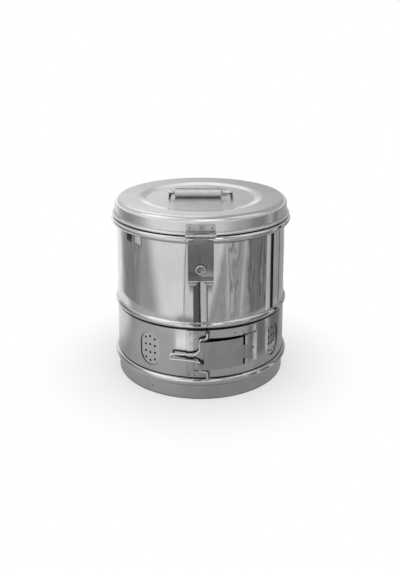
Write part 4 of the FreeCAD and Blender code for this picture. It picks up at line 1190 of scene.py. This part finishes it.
    def _screen(self) -> None:
        """Stand a grey screen round the drum, behind the cards, for its wall to mirror."""
        mesh = bmesh.new()
        middle = Matrix.Translation((0.0, 0.0, self.screen_height / 2))
        bmesh.ops.create_cone(mesh, cap_ends=False, segments=ROUND_STEPS, radius1=self.stand,
                              radius2=self.stand, depth=self.screen_height, matrix=middle)
        paint, _, glow = new_glow("grey screen")
        glow.inputs["Strength"].default_value = self.screen
        reflected_only("grey_screen", mesh, paint)

    def _floor(self) -> None:
        """Lay the pale floor, which shows white away from the drum."""
        mesh = bmesh.new()
        bmesh.ops.create_grid(mesh, x_segments=1, y_segments=1, size=self.floor_reach)
        paint = bpy.data.materials.new("pale floor")
        paint.use_nodes = True
        sheet = NodeSheet(paint.node_tree)
        shader = paint.node_tree.nodes["Principled BSDF"]
        grey = self.floor_grey
        shader.inputs["Base Color"].default_value = (grey, grey, grey, 1.0)
        shader.inputs["Roughness"].default_value = self.floor_dull
        shader.inputs["Specular IOR Level"].default_value = self.floor_shine
        away = sheet.distance(sheet.add("TexCoord").outputs["Object"])
        white = sheet.remap(away, *self.floor_white, smooth=True)
        sheet.surface(sheet.maths("MULTIPLY", sheet.seen(), white), shader, sheet.add("Emission"))
        floor = new_object("floor", mesh, paint)

    def _ground(self) -> None:
        """Lay the ground that the lower walls mirror, darker near the drum."""
        mesh = bmesh.new()
        bmesh.ops.create_circle(mesh, cap_ends=True, segments=ROUND_STEPS, radius=self.stand,
                                matrix=Matrix.Translation((0.0, 0.0, GROUND_LIFT)))
        paint, sheet, glow = new_glow("near ground")
        place = sheet.add("TexCoord").outputs["Object"]
        level = sheet.remap(sheet.distance(place), WALL_RADIUS, self.stand, *self.ground_grey)
        for middle, ramp in self.ground_patches:
            extra = sheet.remap(sheet.distance(place, middle), *ramp, smooth=True)
            level = sheet.maths("ADD", level, extra)
        sheet.join(level, glow.inputs["Strength"])
        reflected_only("near_ground", mesh, paint)

    def _surroundings(self) -> None:
        """Make the surroundings white, but greyer overhead and on the right in what metal mirrors."""
        world = bpy.data.worlds.new("surroundings")
        world.use_nodes = True
        bpy.context.scene.world = world
        sheet = NodeSheet(world.node_tree)
        x, _, z = sheet.split(sheet.add("TexCoord").outputs["Generated"])
        sky = sheet.remap(z, *self.sky, smooth=True)
        side = sheet.remap(x, *self.sky_side, smooth=True)
        mirrored = sheet.add("LightPath").outputs["Is Glossy Ray"]
        level = self.sky_dull
        for mask, value in ((mirrored, sheet.maths("MULTIPLY", sky, side)), (sheet.seen(), 1.0)):
            chosen = sheet.add("Mix", data_type="FLOAT")
            sheet.join(mask, chosen.inputs[0])
            sheet.feed(chosen.inputs[2], level)
            sheet.feed(chosen.inputs[3], value)
            level = chosen.outputs[0]
        back = world.node_tree.nodes["Background"]
        back.inputs["Color"].default_value = (1.0, 1.0, 1.0, 1.0)
        sheet.join(level, back.inputs["Strength"])

    def _camera(self, eye: Vector) -> None:
        """Place the camera at the photograph's angle.

        Args:
            eye: its place.
        """
        data = bpy.data.cameras.new("camera")
        data.lens = self.lens
        data.sensor_width = 36.0
        data.sensor_fit = "AUTO"
        data.shift_y = self.shift
        data.clip_start = 0.01
        holder = bpy.data.objects.new("camera", data)
        holder.location = eye
        holder.rotation_euler = (math.radians(90.0 - self.camera_tilt), 0.0, 0.0)
        bpy.context.scene.collection.objects.link(holder)
        bpy.context.scene.camera = holder


def main() -> None:
    """Dress the drum, add its fastenings and set up the studio."""
    materials = SteelSet().dress()
    Fastenings().build(materials)
    Studio().build()


if __name__ == "__main__":
    main()
